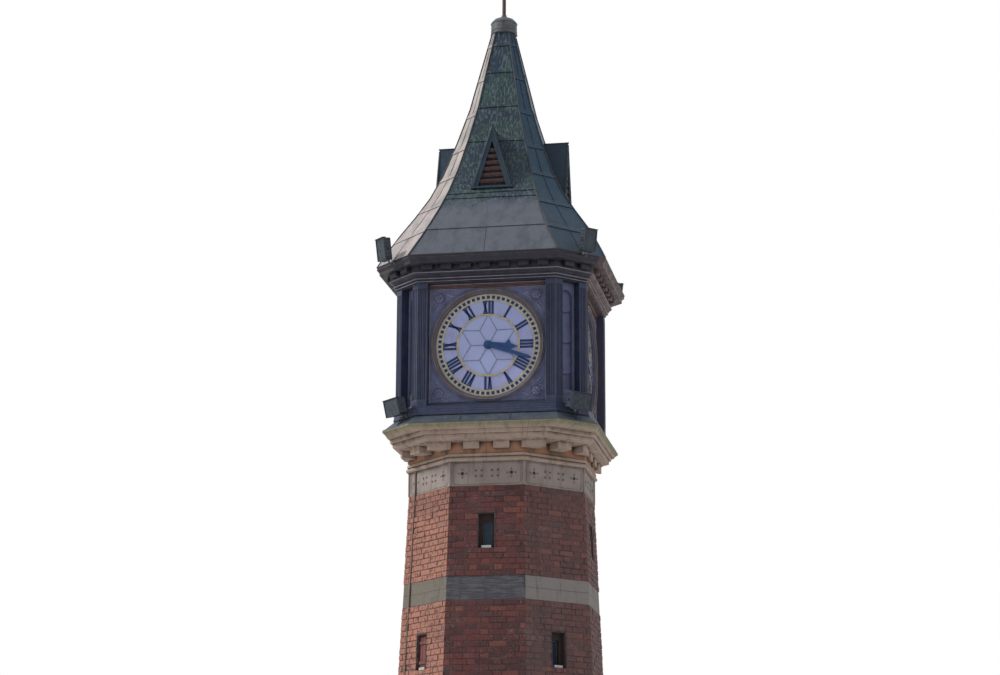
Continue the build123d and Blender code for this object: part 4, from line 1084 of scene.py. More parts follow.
# Strap hinges with studs, and a ring handle on its rose; profiles are (radius, out)
doorIron = {
    "straps": (0.52, 1.12, 1.72), "start": 0.02, "length": 0.56, "width": 0.050, "thickness": 0.006,
    "tip": (0.11, 0.075, 0.016), "studs": 5, "studStart": 0.06, "studPitch": 0.105, "studRadius": 0.010,
    "studFlat": 0.6, "handleX": -0.25, "ringZ": 1.12, "roseZ": 1.165,
    "ring": [(0.038, 0.016), (0.046, 0.012), (0.050, 0.016), (0.046, 0.024), (0.040, 0.024)],
    "rose": [(0.004, 0.010), (0.024, 0.010), (0.020, 0.020), (0.004, 0.024)],
}
bm = bmesh.new()
front = doorway["plankThickness"]
tip = leafHalf - doorIron["length"]
for z in doorIron["straps"]:
    strap = addBar(bm, (leafHalf - doorIron["start"], z), (tip, z), doorIron["width"], front,
                   front + doorIron["thickness"], leafPlace)
    bevelEdges(bm, outerEdges(strap), 0.002)
    addPetal(bm, (tip, z), *doorIron["tip"], 0, leafPlace @ shifted(0, -front, 0))
    for index in range(doorIron["studs"]):
        x = leafHalf - doorIron["studStart"] - doorIron["studPitch"] * index
        spot = leafPlace @ shifted(x, -front - doorIron["thickness"], z)
        bmesh.ops.create_uvsphere(bm, u_segments=8, v_segments=5, radius=doorIron["studRadius"],
                                  matrix=spot @ Matrix.Diagonal((1, doorIron["studFlat"], 1, 1)))
spinRing(bm, doorIron["ring"], leafPlace @ shifted(doorIron["handleX"], 0, doorIron["ringZ"]), 24)
spinRing(bm, doorIron["rose"], leafPlace @ shifted(doorIron["handleX"], 0, doorIron["roseZ"]), 16)
makePiece(bm, "doorIron", materials["door_iron"], smooth=True)

# Dressed stones round the door: voussoirs with a keystone, and jambs laid long and short
stones = {
    "voussoirs": 9, "out": 0.007, "reach": 0.185, "keyReach": 0.035, "keyOut": 0.014, "inset": 0.012,
    "joint": 0.004, "bed": 0.004, "courses": 6, "long": 0.175, "short": 0.125, "rounding": 0.004,
}
bm = bmesh.new()
edges = []
for index in range(stones["voussoirs"]):
    middle = pi * (index + 0.5) / stones["voussoirs"] - pi / 2
    spread = pi / stones["voussoirs"] / 2
    reach, out = stones["reach"], stones["out"]
    if index == stones["voussoirs"] // 2:
        reach, out = reach + stones["keyReach"], out + stones["keyOut"]
    verts = bmesh.ops.create_cube(bm, size=1)["verts"]
    for vert in verts:
        radius = doorway["half"] + (reach if vert.co.z > 0 else stones["inset"])
        angle = middle + (spread - stones["joint"] / radius) * (1 if vert.co.x > 0 else -1)
        z = doorway["spring"] + radius * cos(angle)
        deep = stones["bed"] if vert.co.y > 0 else -out
        vert.co = (radius * sin(angle), deep - shaftFace(0, z)[0], z)
    edges += outerEdges(verts)
jambHeight = (doorway["spring"] - doorway["foot"]) / stones["courses"]
inner = doorway["half"] + stones["inset"]
for course in range(stones["courses"]):
    low = doorway["foot"] + jambHeight * course + stones["joint"]
    high = low + jambHeight - 2 * stones["joint"]
    for side in (-1, 1):
        left, right = mirrored(side, inner, inner + (stones["long"] if course % 2 else stones["short"]))
        verts = addPlate(bm, (left, low), (right, high), stones["out"], stones["bed"], None)
        for vert in verts:
            vert.co.y -= shaftFace(0, vert.co.z)[0]
        edges += outerEdges(verts)
bevelEdges(bm, edges, stones["rounding"], 2)
makePiece(bm, "doorwayStones", materials["plinth_stone"])
print("doorway dressed")

# Stone frieze: a bead panel on each face, with four drilled ornaments in it
frieze = {
    "foot": 7.422, "top": 7.698, "margin": 0.045, "corner": 0.03, "bead": 0.0055, "centre": 7.565,
    "ornaments": ((-0.325, "cross"), (-0.108, "square"), (0.108, "square"), (0.325, "cross")),
    "largeHole": 0.021, "crossHole": 0.0077, "crossSpread": 0.052, "squareHole": 0.011,
    "squareSpread": 0.038,
}
friezeBm = bmesh.new()
holeBm = bmesh.new()


def addDrilled(place, x, z, radius):
    # A disc of painted shade for the hole, in a raised rim
    rim = [(radius, 0.0005), (radius + 0.006, 0.0005), (radius + 0.004, 0.004), (radius, 0.004)]
    spinRing(friezeBm, rim, place @ shifted(x, 0, z), 14)
    bmesh.ops.create_cone(holeBm, cap_ends=True, segments=14, radius1=radius * 0.98, radius2=radius * 0.8,
                          depth=0.002, matrix=place @ shifted(x, -0.0012, z) @ facingOut())


for number in allSides:
    reach, wide = octagonFace(shaft["half"], shaft["cut"], number)
    place = atFace(number, reach)
    wide -= frieze["margin"]
    low, high, corner = frieze["foot"], frieze["top"], frieze["corner"]
    outline = [(-wide, low + corner), (-wide, high - corner), (corner - wide, high), (wide - corner, high),
               (wide, high - corner), (wide, low + corner), (wide - corner, low), (corner - wide, low)]
    addTube(friezeBm, [(x, 0, z) for x, z in outline], frieze["bead"], True, place, 0)
    for x, kind in frieze["ornaments"]:
        around = ((1, 1), (-1, 1), (1, -1), (-1, -1))
        if kind == "cross":
            addDrilled(place, x, frieze["centre"], frieze["largeHole"])
            around = ((1, 0), (-1, 0), (0, 1), (0, -1))
        spread = frieze[kind + "Spread"]
        for across, up in around:
            addDrilled(place, x + across * spread, frieze["centre"] + up * spread, frieze[kind + "Hole"])
makePiece(friezeBm, "friezeBeads", materials["frieze_stone"])
makePiece(holeBm, "friezeHoles", materials["painted_shade_dark"])

# Lead: rolls over the weathering and a turned edge at its foot, with half, cut and height of each end
lead = {"foot": (1.438, 0.441, 8.208), "head": (1.297, 0.364, 8.336), "roll": 0.008, "edge": 0.009,
        "places": (-0.33, 0.33)}
bm = bmesh.new()
for number in allSides:
    ends = [(octagonFace(half, cut, number)[0], z) for half, cut, z in (lead["foot"], lead["head"])]
    for x in (0.0,) if number % 2 else lead["places"]:
        addTube(bm, [(x, -reach, z) for reach, z in ends], lead["roll"], place=turned(number))
addTube(bm, octagonPoints(*lead["foot"]), lead["edge"], True)
makePiece(bm, "leadRolls", materials["lead"], smooth=True)
print("stone and lead dressed")

# Clock stage: reeds, beads and collars on the posts; a collar is low, high and out
stage = {
    "half": 1.283, "cut": 0.3573, "foot": 8.464, "top": 10.1334, "postMain": 0.133, "postCorner": 0.118,
    "grooves": (0.32, 0.68), "reed": 0.008, "reedIn": 0.004, "bead": 0.007, "beadInset": 0.006,
    "collars": ((0.0, 0.075, 0.008), (0.075, 0.09, 0.004), (1.6, 1.6694, 0.006)),
}
bm = bmesh.new()
for number in allSides:
    reach, wide = octagonFace(stage["half"], stage["cut"], number)
    post = stage["postCorner"] if number % 2 else stage["postMain"]
    place = atFace(number, reach)
    for side in (-1, 1):
        lines = [(wide - post * share, stage["reedIn"], stage["reed"]) for share in stage["grooves"]]
        lines.append((wide - post + stage["beadInset"], -0.002, stage["bead"]))
        for x, y, radius in lines:
            addTube(bm, [(side * x, y, z) for z in (stage["foot"], stage["top"])], radius, place=place)
        left, right = mirrored(side, wide - post + 0.002, wide - 0.001)
        for low, high, out in stage["collars"]:
            addTrim(bm, (left, stage["foot"] + low), (right, stage["foot"] + high), out, 0.002, place)
for x, y, _ in octagonPoints(stage["half"], stage["cut"], 0):
    addTube(bm, [(x, y, z) for z in (stage["foot"], stage["top"])], stage["bead"])
makePiece(bm, "postReeds", materials["stage_paint"], smooth=True)

# Rails at the foot of each dial panel, as low, high and out
panelTrim = {
    "footRails": ((0.0, 0.030, 0.030), (0.030, 0.046, 0.018), (0.046, 0.056, 0.010)),
    "sideBead": 0.012, "sideInset": 0.013, "sideFoot": 0.05,
    "topBeads": ((0.026, 0.008, 0.008), (0.002, 0.064, 0.006)), "fillets": (0.048, 0.026),
    "filletOut": 0.022, "filletHalf": 0.005,
}
niche = {
    "reach": 1.4518, "half": 0.0983, "foot": 8.689, "spring": 9.9371, "panelHalf": 0.1346, "bead": 0.006,
    "plates": (9.7368, 9.3157, 8.8946), "sag": 0.034, "plateOut": -0.032, "lip": 0.006,
    "sideInset": 0.007, "sideFoot": 0.06,
    "footRails": ((0.0, 0.05, 0.024), (0.05, 0.062, 0.012), (0.16, 0.17, 0.006)),
}
bm = bmesh.new()
for number in mainSides:
    place, wide = atFace(number, dial["panel"]), dial["panelHalf"]
    for low, high, out in panelTrim["footRails"]:
        addTrim(bm, (-wide, dial["panelFoot"] + low), (wide, dial["panelFoot"] + high), out, 0.002, place)
makePiece(bm, "panelTrim", materials["stage_paint"], smooth=True)

# Beads that frame each dial panel and each niche, in a lighter paint that is a painted highlight
bm = bmesh.new()
for number in allSides:
    if number % 2:
        place, wide = atFace(number, niche["reach"]), niche["panelHalf"] - niche["sideInset"]
        low, radius = niche["sideFoot"], niche["bead"]
    else:
        place, wide = atFace(number, dial["panel"]), dial["panelHalf"] - panelTrim["sideInset"]
        low, radius = panelTrim["sideFoot"], panelTrim["sideBead"]
        for out, drop, bead in panelTrim["topBeads"]:
            addTube(bm, [(x, -out, dial["panelTop"] - drop) for x in (-wide, wide)], bead, place=place)
    for x in (-wide, wide):
        addTube(bm, [(x, 0, dial["panelFoot"] + low), (x, 0, dial["panelTop"])], radius, place=place)
makePiece(bm, "frameBeads", materials["bead_highlight_paint"], smooth=True)

# Fillets on the red head rails
bm = bmesh.new()
for number in mainSides:
    place, wide, half = atFace(number, dial["panel"]), dial["panelHalf"], panelTrim["filletHalf"]
    for drop in panelTrim["fillets"]:
        z = dial["panelTop"] - drop
        addTrim(bm, (-wide, z - half), (wide, z + half), panelTrim["filletOut"], 0.0, place)
makePiece(bm, "headRailFillets", materials["rail_paint"])

# Spandrels: a rosette in a ring, leaves beside it and a raised border. A leaf is its angle, reach,
# length and width
spandrel = {
    "roundel": 0.6527, "ring": 0.094, "ringBead": 0.008, "petals": 6, "petalReach": 0.032, "petalOut": 0.016,
    "petal": (0.050, 0.027, 0.026), "button": (0.030, 0.030, 0.036), "balls": 10, "ballReach": 0.077,
    "ball": (0.024, 0.026, 0.014), "leafHeight": 0.022, "leafCurl": 0.5, "nearest": 0.83, "widest": 0.745,
    "leaves": ((-78, 0.155, 0.12, 0.042), (-100, 0.215, 0.10, 0.034), (168, 0.155, 0.12, 0.042),
               (190, 0.215, 0.10, 0.034), (-90, 0.285, 0.08, 0.026), (180, 0.285, 0.08, 0.026),
               (-62, 0.125, 0.06, 0.026), (152, 0.125, 0.06, 0.026)),
    "edge": 0.768, "arc": 0.803, "arcFrom": 18, "arcTo": 72, "arcSteps": 8, "border": 0.005,
}


def addSpandrel(bm, number, across, up):
    middle = (across * spandrel["roundel"], up * spandrel["roundel"])
    place = atFace(number, dial["panel"]) @ shifted(middle[0], 0, dial["centre"] + middle[1])
    raised = place @ shifted(0, -spandrel["petalOut"], 0)
    spinRing(bm, halfRound(spandrel["ring"], 0, spandrel["ringBead"]), place, 28)
    for index in range(spandrel["petals"]):
        angle = 2 * pi * index / spandrel["petals"]
        spot = (spandrel["petalReach"] * cos(angle), spandrel["petalReach"] * sin(angle))
        addPetal(bm, spot, *spandrel["petal"], angle, raised)
    addPetal(bm, (0, 0), *spandrel["button"], 0, raised)
    for index in range(spandrel["balls"]):
        angle = 2 * pi * (index + 0.5) / spandrel["balls"]
        spot = (spandrel["ballReach"] * cos(angle), spandrel["ballReach"] * sin(angle))
        addPetal(bm, spot, *spandrel["ball"], angle, place)
    for turn, reach, length, width in spandrel["leaves"]:
        angle = radians(turn)
        spot = (across * reach * cos(angle), up * reach * sin(angle))
        curled = angle + spandrel["leafCurl"]
        lean = atan2(up * sin(curled), across * cos(curled))
        x, z = spot[0] + middle[0], spot[1] + middle[1]
        if sqrt(x**2 + z**2) > spandrel["nearest"] and abs(x) < spandrel["widest"]:
            addPetal(bm, spot, length, width, spandrel["leafHeight"], lean, place)
    step = (spandrel["arcTo"] - spandrel["arcFrom"]) / spandrel["arcSteps"]
    turns = [radians(spandrel["arcFrom"] + step * index) for index in range(spandrel["arcSteps"] + 1)]
    border = [(spandrel["arc"] * cos(turn), spandrel["arc"] * sin(turn)) for turn in turns]
    edge = spandrel["edge"]
    border += [(border[-1][0], edge), (edge, edge), (edge, border[0][1])]
    line = [(across * x - middle[0], -0.001, up * z - middle[1]) for x, z in border]
    addTube(bm, line, spandrel["border"], True, place, 0)


bm = bmesh.new()
for number in mainSides:
    for across in (-1, 1):
        for up in (-1, 1):
            addSpandrel(bm, number, across, up)
makePiece(bm, "spandrelRelief", materials["relief_paint"], smooth=True)
print("clock stage dressed")

# Dial rings: a fine bead on the crest and two on the outer fall, as radius and out
ringLines = {"width": 0.0045, "beads": ((0.7470, 0.0335), (0.7655, 0.0205), (0.7760, 0.0)), "steps": 96}
# The beads take the lighter bead paint, a painted highlight
bm = bmesh.new()
for number in mainSides:
    place = atFace(number, dial["panel"], dial["centre"])
    for radius, out in ringLines["beads"]:
        spinRing(bm, halfRound(radius, out, ringLines["width"]), place, ringLines["steps"])
makePiece(bm, "ringBeads", materials["bead_highlight_paint"], smooth=True)

# Dials: rims, minute squares and numerals
rims = {"width": 0.007, "low": 0.003, "high": 0.009, "steps": 96}
outers = [dial["chapterOuter"], dial["chapterInner"] + rims["width"], dial["innerOuter"],
          dial["innerInner"] + rims["width"]]
minuteSquares = {"radius": 0.6535, "size": 0.042, "low": 0.004, "high": 0.0066}
rimBm = bmesh.new()
squareBm = bmesh.new()
for number in mainSides:
    place = atFace(number, dial["glass"], dial["centre"])
    for outer in outers:
        corners = [(outer - rims["width"], rims["low"]), (outer, rims["low"])]
        corners += [(outer, rims["high"]), (outer - rims["width"], rims["high"])]
        spinRing(rimBm, corners, place, rims["steps"])
    for minute in range(60):
        angle = 2 * pi * minute / 60
        ends = [minuteSquares["radius"] + side * minuteSquares["size"] / 2 for side in (-1, 1)]
        start, end = ((radius * sin(angle), radius * cos(angle)) for radius in ends)
        addBar(squareBm, start, end, minuteSquares["size"], minuteSquares["low"], minuteSquares["high"],
               place)
makePiece(rimBm, "dialRims", materials["gilt"])
makePiece(squareBm, "minuteSquares", materials["numeral_paint"])

numerals = {
    "foot": 0.4290, "height": 0.1775, "thick": 0.031, "thin": 0.018, "serif": 0.008, "serifHalf": 0.018,
    "point": 0.004, "low": 0.0, "high": 0.004, "widths": {"I": 0.042, "V": 0.070, "X": 0.072},
    "hours": ["I", "II", "III", "IIII", "V", "VI", "VII", "VIII", "IX", "X", "XI", "XII"],
}


def numeralStrokes(text):
    # Strokes as (x, z, x, z, width) on a line that is centred on x = 0
    strokes = []
    h, thick, thin, serif = (numerals[key] for key in ("height", "thick", "thin", "serif"))
    x = -sum(numerals["widths"][letter] for letter in text) / 2
    for letter in text:
        w = numerals["widths"][letter]
        middle, left, right = x + w / 2, x + thick / 2, x + w - thin
        if letter == "I":
            strokes.append((middle, 0, middle, h, thick))
            ends = [(middle, 0), (middle, h)]
        elif letter == "V":
            point = numerals["point"]
            strokes += [(left, h, middle, point, thick), (right, h, middle, point, thin)]
            ends = [(left, h), (right, h)]
        else:
            strokes += [(left, h, x + w - thick / 2, 0, thick), (right, h, x + thin, 0, thin)]
            ends = [(left, h), (right, h), (x + w - thick / 2, 0), (x + thin, 0)]
        for spot, z in ends:
            z = z - serif / 2 if z > 0 else z + serif / 2
            strokes.append((spot - numerals["serifHalf"], z, spot + numerals["serifHalf"], z, serif))
        x += w
    return strokes


bm = bmesh.new()
for number in mainSides:
    for hour, text in enumerate(numerals["hours"], 1):
        turn = Matrix.Rotation(radians(30 * hour), 4, "Y")
        place = atFace(number, dial["glass"], dial["centre"]) @ turn @ shifted(0, 0, numerals["foot"])
        for x0, z0, x1, z1, width in numeralStrokes(text):
            addBar(bm, (x0, z0), (x1, z1), width, numerals["low"], numerals["high"], place)
makePiece(bm, "dialNumerals", materials["numeral_paint"])

# Hands: a rib along each blade, and a washer and nut on each minute hub
handTrim = {
    "hour": {"angle": 95, "front": 1.158, "start": 0.075, "end": 0.365, "width": 0.016, "out": 0.0015},
    "minute": {"angle": 109, "front": 1.174, "start": 0.055, "end": 0.575, "width": 0.013, "out": 0.0020},
}
washer = [(0.004, 0.001), (0.026, 0.001), (0.024, 0.006), (0.004, 0.006)]
nut = {"radius1": 0.016, "radius2": 0.014, "depth": 0.010}
for index, sideName in enumerate(sideNames):
    for kind, trim in handTrim.items():
        bm = bmesh.new()
        turn = Matrix.Rotation(radians(trim["angle"]), 4, "Y")
        place = atFace(2 * index, trim["front"], dial["centre"]) @ turn
        rib = addBar(bm, (0, trim["start"]), (0, trim["end"]), trim["width"], -0.001, trim["out"], place)
        bevelEdges(bm, outerEdges(rib), 0.0008)
        if kind == "minute":
            spinRing(bm, washer, place, 24)
            nutPlace = place @ shifted(0, -0.010, 0) @ facingOut()
            bmesh.ops.create_cone(bm, cap_ends=True, segments=6, matrix=nutPlace, **nut)
        body = f"{kind}_hand_{sideName}"
        makePiece(bm, f"{kind}Rib_{sideName}", materials["hand_paint"], body)
print("dials dressed")

# Niches: a bead round each arch, rails at the foot, and a lip and leaves on each plate
bm = bmesh.new()
for number in cornerSides:
    place = atFace(number, niche["reach"])
    wide = niche["half"] + niche["bead"]
    turns = [pi - pi * step / 12 for step in range(13)]
    arch = [(wide * cos(turn), 0, niche["spring"] + wide * sin(turn)) for turn in turns]
    addTube(bm, [(-wide, 0, niche["foot"]), *arch, (wide, 0, niche["foot"])], niche["bead"], True, place)
    wide = niche["panelHalf"] - 0.001
    for low, high, out in niche["footRails"]:
        addTrim(bm, (-wide, stage["foot"] + low), (wide, stage["foot"] + high), out, 0.002, place)
    radius = (niche["half"] ** 2 + niche["sag"] ** 2) / (2 * niche["sag"])
    petalPlace = place @ shifted(0, 0.004 - niche["plateOut"], 0)
    for z in niche["plates"]:
        spots = [(niche["half"] - 0.007) * (step / 4 - 1) for step in range(9)]
        rises = [radius - sqrt(radius**2 - x**2) + niche["lip"] for x in spots]
        lip = [(x, 0.003 - niche["plateOut"], z + rise) for x, rise in zip(spots, rises)]
        addTube(bm, lip, niche["lip"], place=place)
        for x in (-0.045, 0.0, 0.045):
            spot = (x, z + 0.075 - abs(x) * 0.2)
            addPetal(bm, spot, 0.11, 0.030, 0.010, radians(90) - x * 5, petalPlace)
makePiece(bm, "nicheMouldings", materials["niche_paint"], smooth=True)

# Eaves: beads between the members and two on the edge of the top board, as half, cut, height and radius
eavesBeads = {
    # The bed mould beads take the lighter bead paint, a painted highlight
    "bedMouldBeads": ("bead_highlight_paint", (
        (1.3055, 0.3703, 10.1555, 0.006), (1.331, 0.3855, 10.189, 0.007), (1.3795, 0.4139, 10.262, 0.008))),
    "eavesBeads": ("eaves_paint", ((1.553, 0.548, 10.4584, 0.010), (1.553, 0.548, 10.4254, 0.006))),
}
for name, (paint, beads) in eavesBeads.items():
    bm = bmesh.new()
    for half, cut, z, radius in beads:
        addTube(bm, octagonPoints(half, cut, z), radius, True)
    makePiece(bm, name, materials[paint], smooth=True)
print("niches and eaves dressed")

# Spire: rolls on the hips. The curve is given as shares of half width, of cut and of height
spire = {
    "foot": 10.4624, "height": 3.612, "eavesHalf": 1.553, "eavesCut": 0.5483, "neckHalf": 0.155,
    "neckCut": 0.062, "roll": 0.012, "lap": 0.009, "lapRise": 0.07, "lapBed": 0.004, "lapHead": 0.001,
    "welt": 0.006, "uneven": 0.010,
    "shares": [(1, 1, 0), (0.949, 1.006, 0.041), (0.893, 1.002, 0.083), (0.813, 0.94, 0.137),
               (0.678, 0.749, 0.214), (0.544, 0.549, 0.297), (0.429, 0.406, 0.393), (0.309, 0.29, 0.529),
               (0.195, 0.18, 0.674), (0.104, 0.094, 0.827), (0, 0, 1)],
    "mainSeams": (10.861, 11.383, 11.471, 12.313, 12.867, 13.431, 13.86),
    "cornerSeams": (10.83, 11.28, 11.757, 12.206, 12.75, 13.308, 13.848),
}
spireLevels = []
for halfShare, cutShare, rise in spire["shares"]:
    half = spire["neckHalf"] + halfShare * (spire["eavesHalf"] - spire["neckHalf"])
    cut = spire["neckCut"] + cutShare * (spire["eavesCut"] - spire["neckCut"])
    spireLevels.append((half, cut, spire["foot"] + rise * spire["height"]))


def spireFace(number, z):
    # Distance from the axis and half width of one slope of the spire at a height
    for low, high in zip(spireLevels, spireLevels[1:]):
        if z <= high[2]:
            share = (z - low[2]) / (high[2] - low[2])
            half, cut = (low[i] + share * (high[i] - low[i]) for i in (0, 1))
            return octagonFace(half, cut, number)
    return octagonFace(*spireLevels[-1][:2], number)


bm = bmesh.new()
for corner in range(8):
    addTube(bm, [octagonPoints(half, cut, z)[corner] for half, cut, z in spireLevels], spire["roll"])
makePiece(bm, "spireHips", materials["hip_metal"], smooth=True)

# Lapped seams across the slopes, and welts up the corner slopes and the feet of the main ones
rng = random.Random("seams")
bm = bmesh.new()
for number in allSides:
    for z in spire["cornerSeams"] if number % 2 else spire["mainSeams"]:
        verts = addPlate(bm, (-1, z), (1, z + spire["lapRise"]), spire["lap"], spire["lapBed"], None)
        sag = {side: rng.uniform(-1, 1) * spire["uneven"] for side in (-1, 1)}
        for vert in verts:
            side = 1 if vert.co.x > 0 else -1
            out = spire["lapHead"] if vert.co.z > z + 0.01 else spire["lap"]
            if vert.co.y > 0:
                out = -spire["lapBed"]
            vert.co.z += sag[side]
            reach, wide = spireFace(number, vert.co.z)
            vert.co = turned(number) @ Vector((wide * side, -reach - out, vert.co.z))
for number in cornerSides:
    line = [(0, -octagonFace(half, cut, number)[0] - 0.002, z) for half, cut, z in spireLevels]
    addTube(bm, line, spire["welt"], place=turned(number))
for number in mainSides:
    rise = spire["mainSeams"][0] - spire["foot"]
    levels = [spire["foot"] + rise * step / 5 for step in range(6)]
    line = [(0, -spireFace(number, z)[0] - 0.001, z) for z in levels]
    addTube(bm, line, spire["welt"], place=turned(number))
makePiece(bm, "spireSeams", materials["spire_metal"])

# Lucarnes: verge rolls, a ridge roll and a moulded sill, as low, high and out
lucarne = {
    "front": 0.9124, "foot": 11.4918, "half": 0.284, "height": 0.950, "verge": 0.013, "proud": 0.010,
    "vergeInset": 0.008, "vergeFoot": 0.03, "vergeTop": 0.035, "backRoll": 0.006, "backFoot": 0.06,
    "ridge": 0.011, "ridgeOut": 0.012, "ridgeIn": 0.42, "sillReach": 0.006, "rounding": 0.004,
    "sill": ((0.048, 0.066, 0.030), (0.066, 0.082, 0.018)),
}
lucarneTop = lucarne["foot"] + lucarne["height"]
bm = bmesh.new()
for number in mainSides:
    place = atFace(number, lucarne["front"])
    for side in (-1, 1):
        start = (side * (lucarne["half"] - lucarne["vergeInset"]), lucarne["foot"] + lucarne["vergeFoot"])
        end = (side * 0.003, lucarneTop - lucarne["vergeTop"])
        verge = addBar(bm, start, end, lucarne["verge"], -0.004, lucarne["proud"], place)
        bevelEdges(bm, outerEdges(verge), lucarne["rounding"])
        back = (side * (lucarne["half"] + 0.002), 0.006, lucarne["foot"] + lucarne["backFoot"])
        addTube(bm, [back, (0, 0.006, lucarneTop)], lucarne["backRoll"], place=place)
    ridge = [(0, y, lucarneTop - 0.006) for y in (-lucarne["ridgeOut"], lucarne["ridgeIn"])]
    addTube(bm, ridge, lucarne["ridge"], place=place)
    wide = lucarne["half"] + lucarne["sillReach"]
    for low, high, out in lucarne["sill"]:
        addTrim(bm, (-wide, lucarne["foot"] + low), (wide, lucarne["foot"] + high), out, 0.012, place,
                lucarne["rounding"])
makePiece(bm, "lucarneTrim", materials["lucarne_metal"], smooth=True)

# A dark board behind each lucarne's louvres, a sheet of painted shade for the roof space, so that no
# daylight shows through the roof space
shadeBoard = {"half": 0.212, "foot": 11.5213, "height": 0.709, "inside": 0.078, "thickness": 0.012}
bm = bmesh.new()
for number in mainSides:
    place = atFace(number, lucarne["front"] - shadeBoard["inside"])
    corners = [(-shadeBoard["half"], 0), (shadeBoard["half"], 0), (0, shadeBoard["height"])]
    front, back = ([bm.verts.new(place @ Vector((x, y, shadeBoard["foot"] + z))) for x, z in corners]
                   for y in (0, shadeBoard["thickness"]))
    bm.faces.new(front)
    bm.faces.new(back[::-1])
    for start, end in ((0, 1), (1, 2), (2, 0)):
        bm.faces.new((front[start], back[start], back[end], front[end]))
makePiece(bm, "lucarneShadeBoard", materials["painted_shade_dark"])

# Cap: three beads as height, radius and size, a row of rivets, and collars on the rod
cap = {
    "foot": 14.0744, "beads": ((0.016, 0.184, 0.007), (0.060, 0.183, 0.005), (0.176, 0.183, 0.008)),
    "beadBed": 0.004, "rivets": 20, "rivetReach": 0.182, "rivetRise": 0.118, "rivet": 0.007,
    "rodFoot": 14.3544, "collarLevels": (14.7894, 14.9344),
    "footCollar": [(0.020, 0.0), (0.052, 0.0), (0.046, 0.014), (0.034, 0.022), (0.034, 0.040),
                   (0.020, 0.046)],
    "collar": [(0.020, 0.0), (0.038, 0.004), (0.038, 0.016), (0.020, 0.022)],
}
bm = bmesh.new()


def uprightRing(z):
    return shifted(0, 0, z) @ Matrix.Rotation(radians(-90), 4, "X")


for z, radius, bead in cap["beads"]:
    bed = radius - cap["beadBed"]
    ring = [(radius, -bead), (radius + bead, 0), (radius, bead), (bed, bead), (bed, -bead)]
    spinRing(bm, ring, uprightRing(cap["foot"] + z), 40)
for index in range(cap["rivets"]):
    angle = 2 * pi * index / cap["rivets"]
    x, y = cap["rivetReach"] * cos(angle), cap["rivetReach"] * sin(angle)
    bmesh.ops.create_uvsphere(bm, u_segments=6, v_segments=4, radius=cap["rivet"],
                              matrix=shifted(x, y, cap["foot"] + cap["rivetRise"]))
spinRing(bm, cap["footCollar"], uprightRing(cap["rodFoot"]), 28)
for z in cap["collarLevels"]:
    spinRing(bm, cap["collar"], uprightRing(z), 28)
makePiece(bm, "capTrim", materials["cap_metal"], smooth=True)
print("spire dressed")

# Floodlights: glazed bezels, cooling fins, hoods, pivots and cables
lampKinds = (
    {"width": 0.200, "depth": 0.100, "height": 0.300, "reach": 1.8086, "out": 0.055, "z": 10.4424,
     "angle": 8, "faces": cornerSides},
    {"width": 0.330, "depth": 0.120, "height": 0.230, "reach": 1.5918, "out": 0.040, "z": 8.359,
     "angle": 14, "faces": (1, 7)},
)
lampTrim = {
    "bracket": 0.008, "lift": 0.020, "bezel": 0.016, "bezelOut": 0.010, "glassOut": 0.004, "bed": 0.002,
    "fins": 6, "fin": 0.006, "finOut": 0.007, "finInset": 0.012, "hood": 0.005, "hoodReach": 0.004,
    "hoodOut": 0.024, "hoodIn": 0.03, "cable": 0.0055, "cableSag": 0.028,
}
pivotSize = {"radius1": 0.014, "radius2": 0.012, "depth": 0.016}
bm = bmesh.new()
glassBm = bmesh.new()
cableBm = bmesh.new()


def addLamp(lamp, number):
    wide, high, bed = lamp["width"] / 2, lamp["height"] / 2, lampTrim["bed"]
    place = (atFace(number, lamp["reach"] + lamp["out"], lamp["z"])
             @ Matrix.Rotation(radians(lamp["angle"]), 4, "X")
             @ shifted(0, -lampTrim["bracket"] - lamp["depth"], high + lampTrim["lift"]))
    paneWide, paneHigh = wide - lampTrim["bezel"], high - lampTrim["bezel"]
    bars = (((-wide, -high), (wide, -paneHigh)), ((-wide, paneHigh), (wide, high)),
            ((-wide, -paneHigh), (-paneWide, paneHigh)), ((paneWide, -paneHigh), (wide, paneHigh)))
    for start, end in bars:
        addTrim(bm, start, end, lampTrim["bezelOut"], bed, place)
    addPlate(glassBm, (-paneWide, -paneHigh), (paneWide, paneHigh), lampTrim["glassOut"], bed, place)
    for index in range(lampTrim["fins"]):
        z = -high + 2 * high * (index + 0.7) / (lampTrim["fins"] + 0.4)
        for side in (-1, 1):
            left, right = mirrored(side, wide - 0.001, wide + lampTrim["finOut"])
            addPlate(bm, (left, z), (right, z + lampTrim["fin"]), -lampTrim["finInset"],
                     lamp["depth"] - lampTrim["finInset"], place)
    hoodWide = wide + lampTrim["hoodReach"]
    addTrim(bm, (-hoodWide, high), (hoodWide, high + lampTrim["hood"]), lampTrim["hoodOut"],
            lampTrim["hoodIn"], place)
    for side in (-1, 1):
        pivot = place @ shifted(side * (wide + 0.006), lamp["depth"] * 0.55, 0)
        pivot = pivot @ Matrix.Rotation(radians(90), 4, "Y")
        bmesh.ops.create_cone(bm, cap_ends=True, segments=8, matrix=pivot, **pivotSize)
    back = place @ Vector((wide * 0.5, lamp["depth"] - 0.004, -high * 0.5))
    wall = atFace(number, lamp["reach"] - 0.004) @ Vector((wide * 0.55, 0, lamp["z"] - 0.03))
    drop = back.lerp(wall, 0.5) - Vector((0, 0, lampTrim["cableSag"]))
    addTube(cableBm, [back, back.lerp(drop, 0.6), drop, drop.lerp(wall, 0.6), wall], lampTrim["cable"])


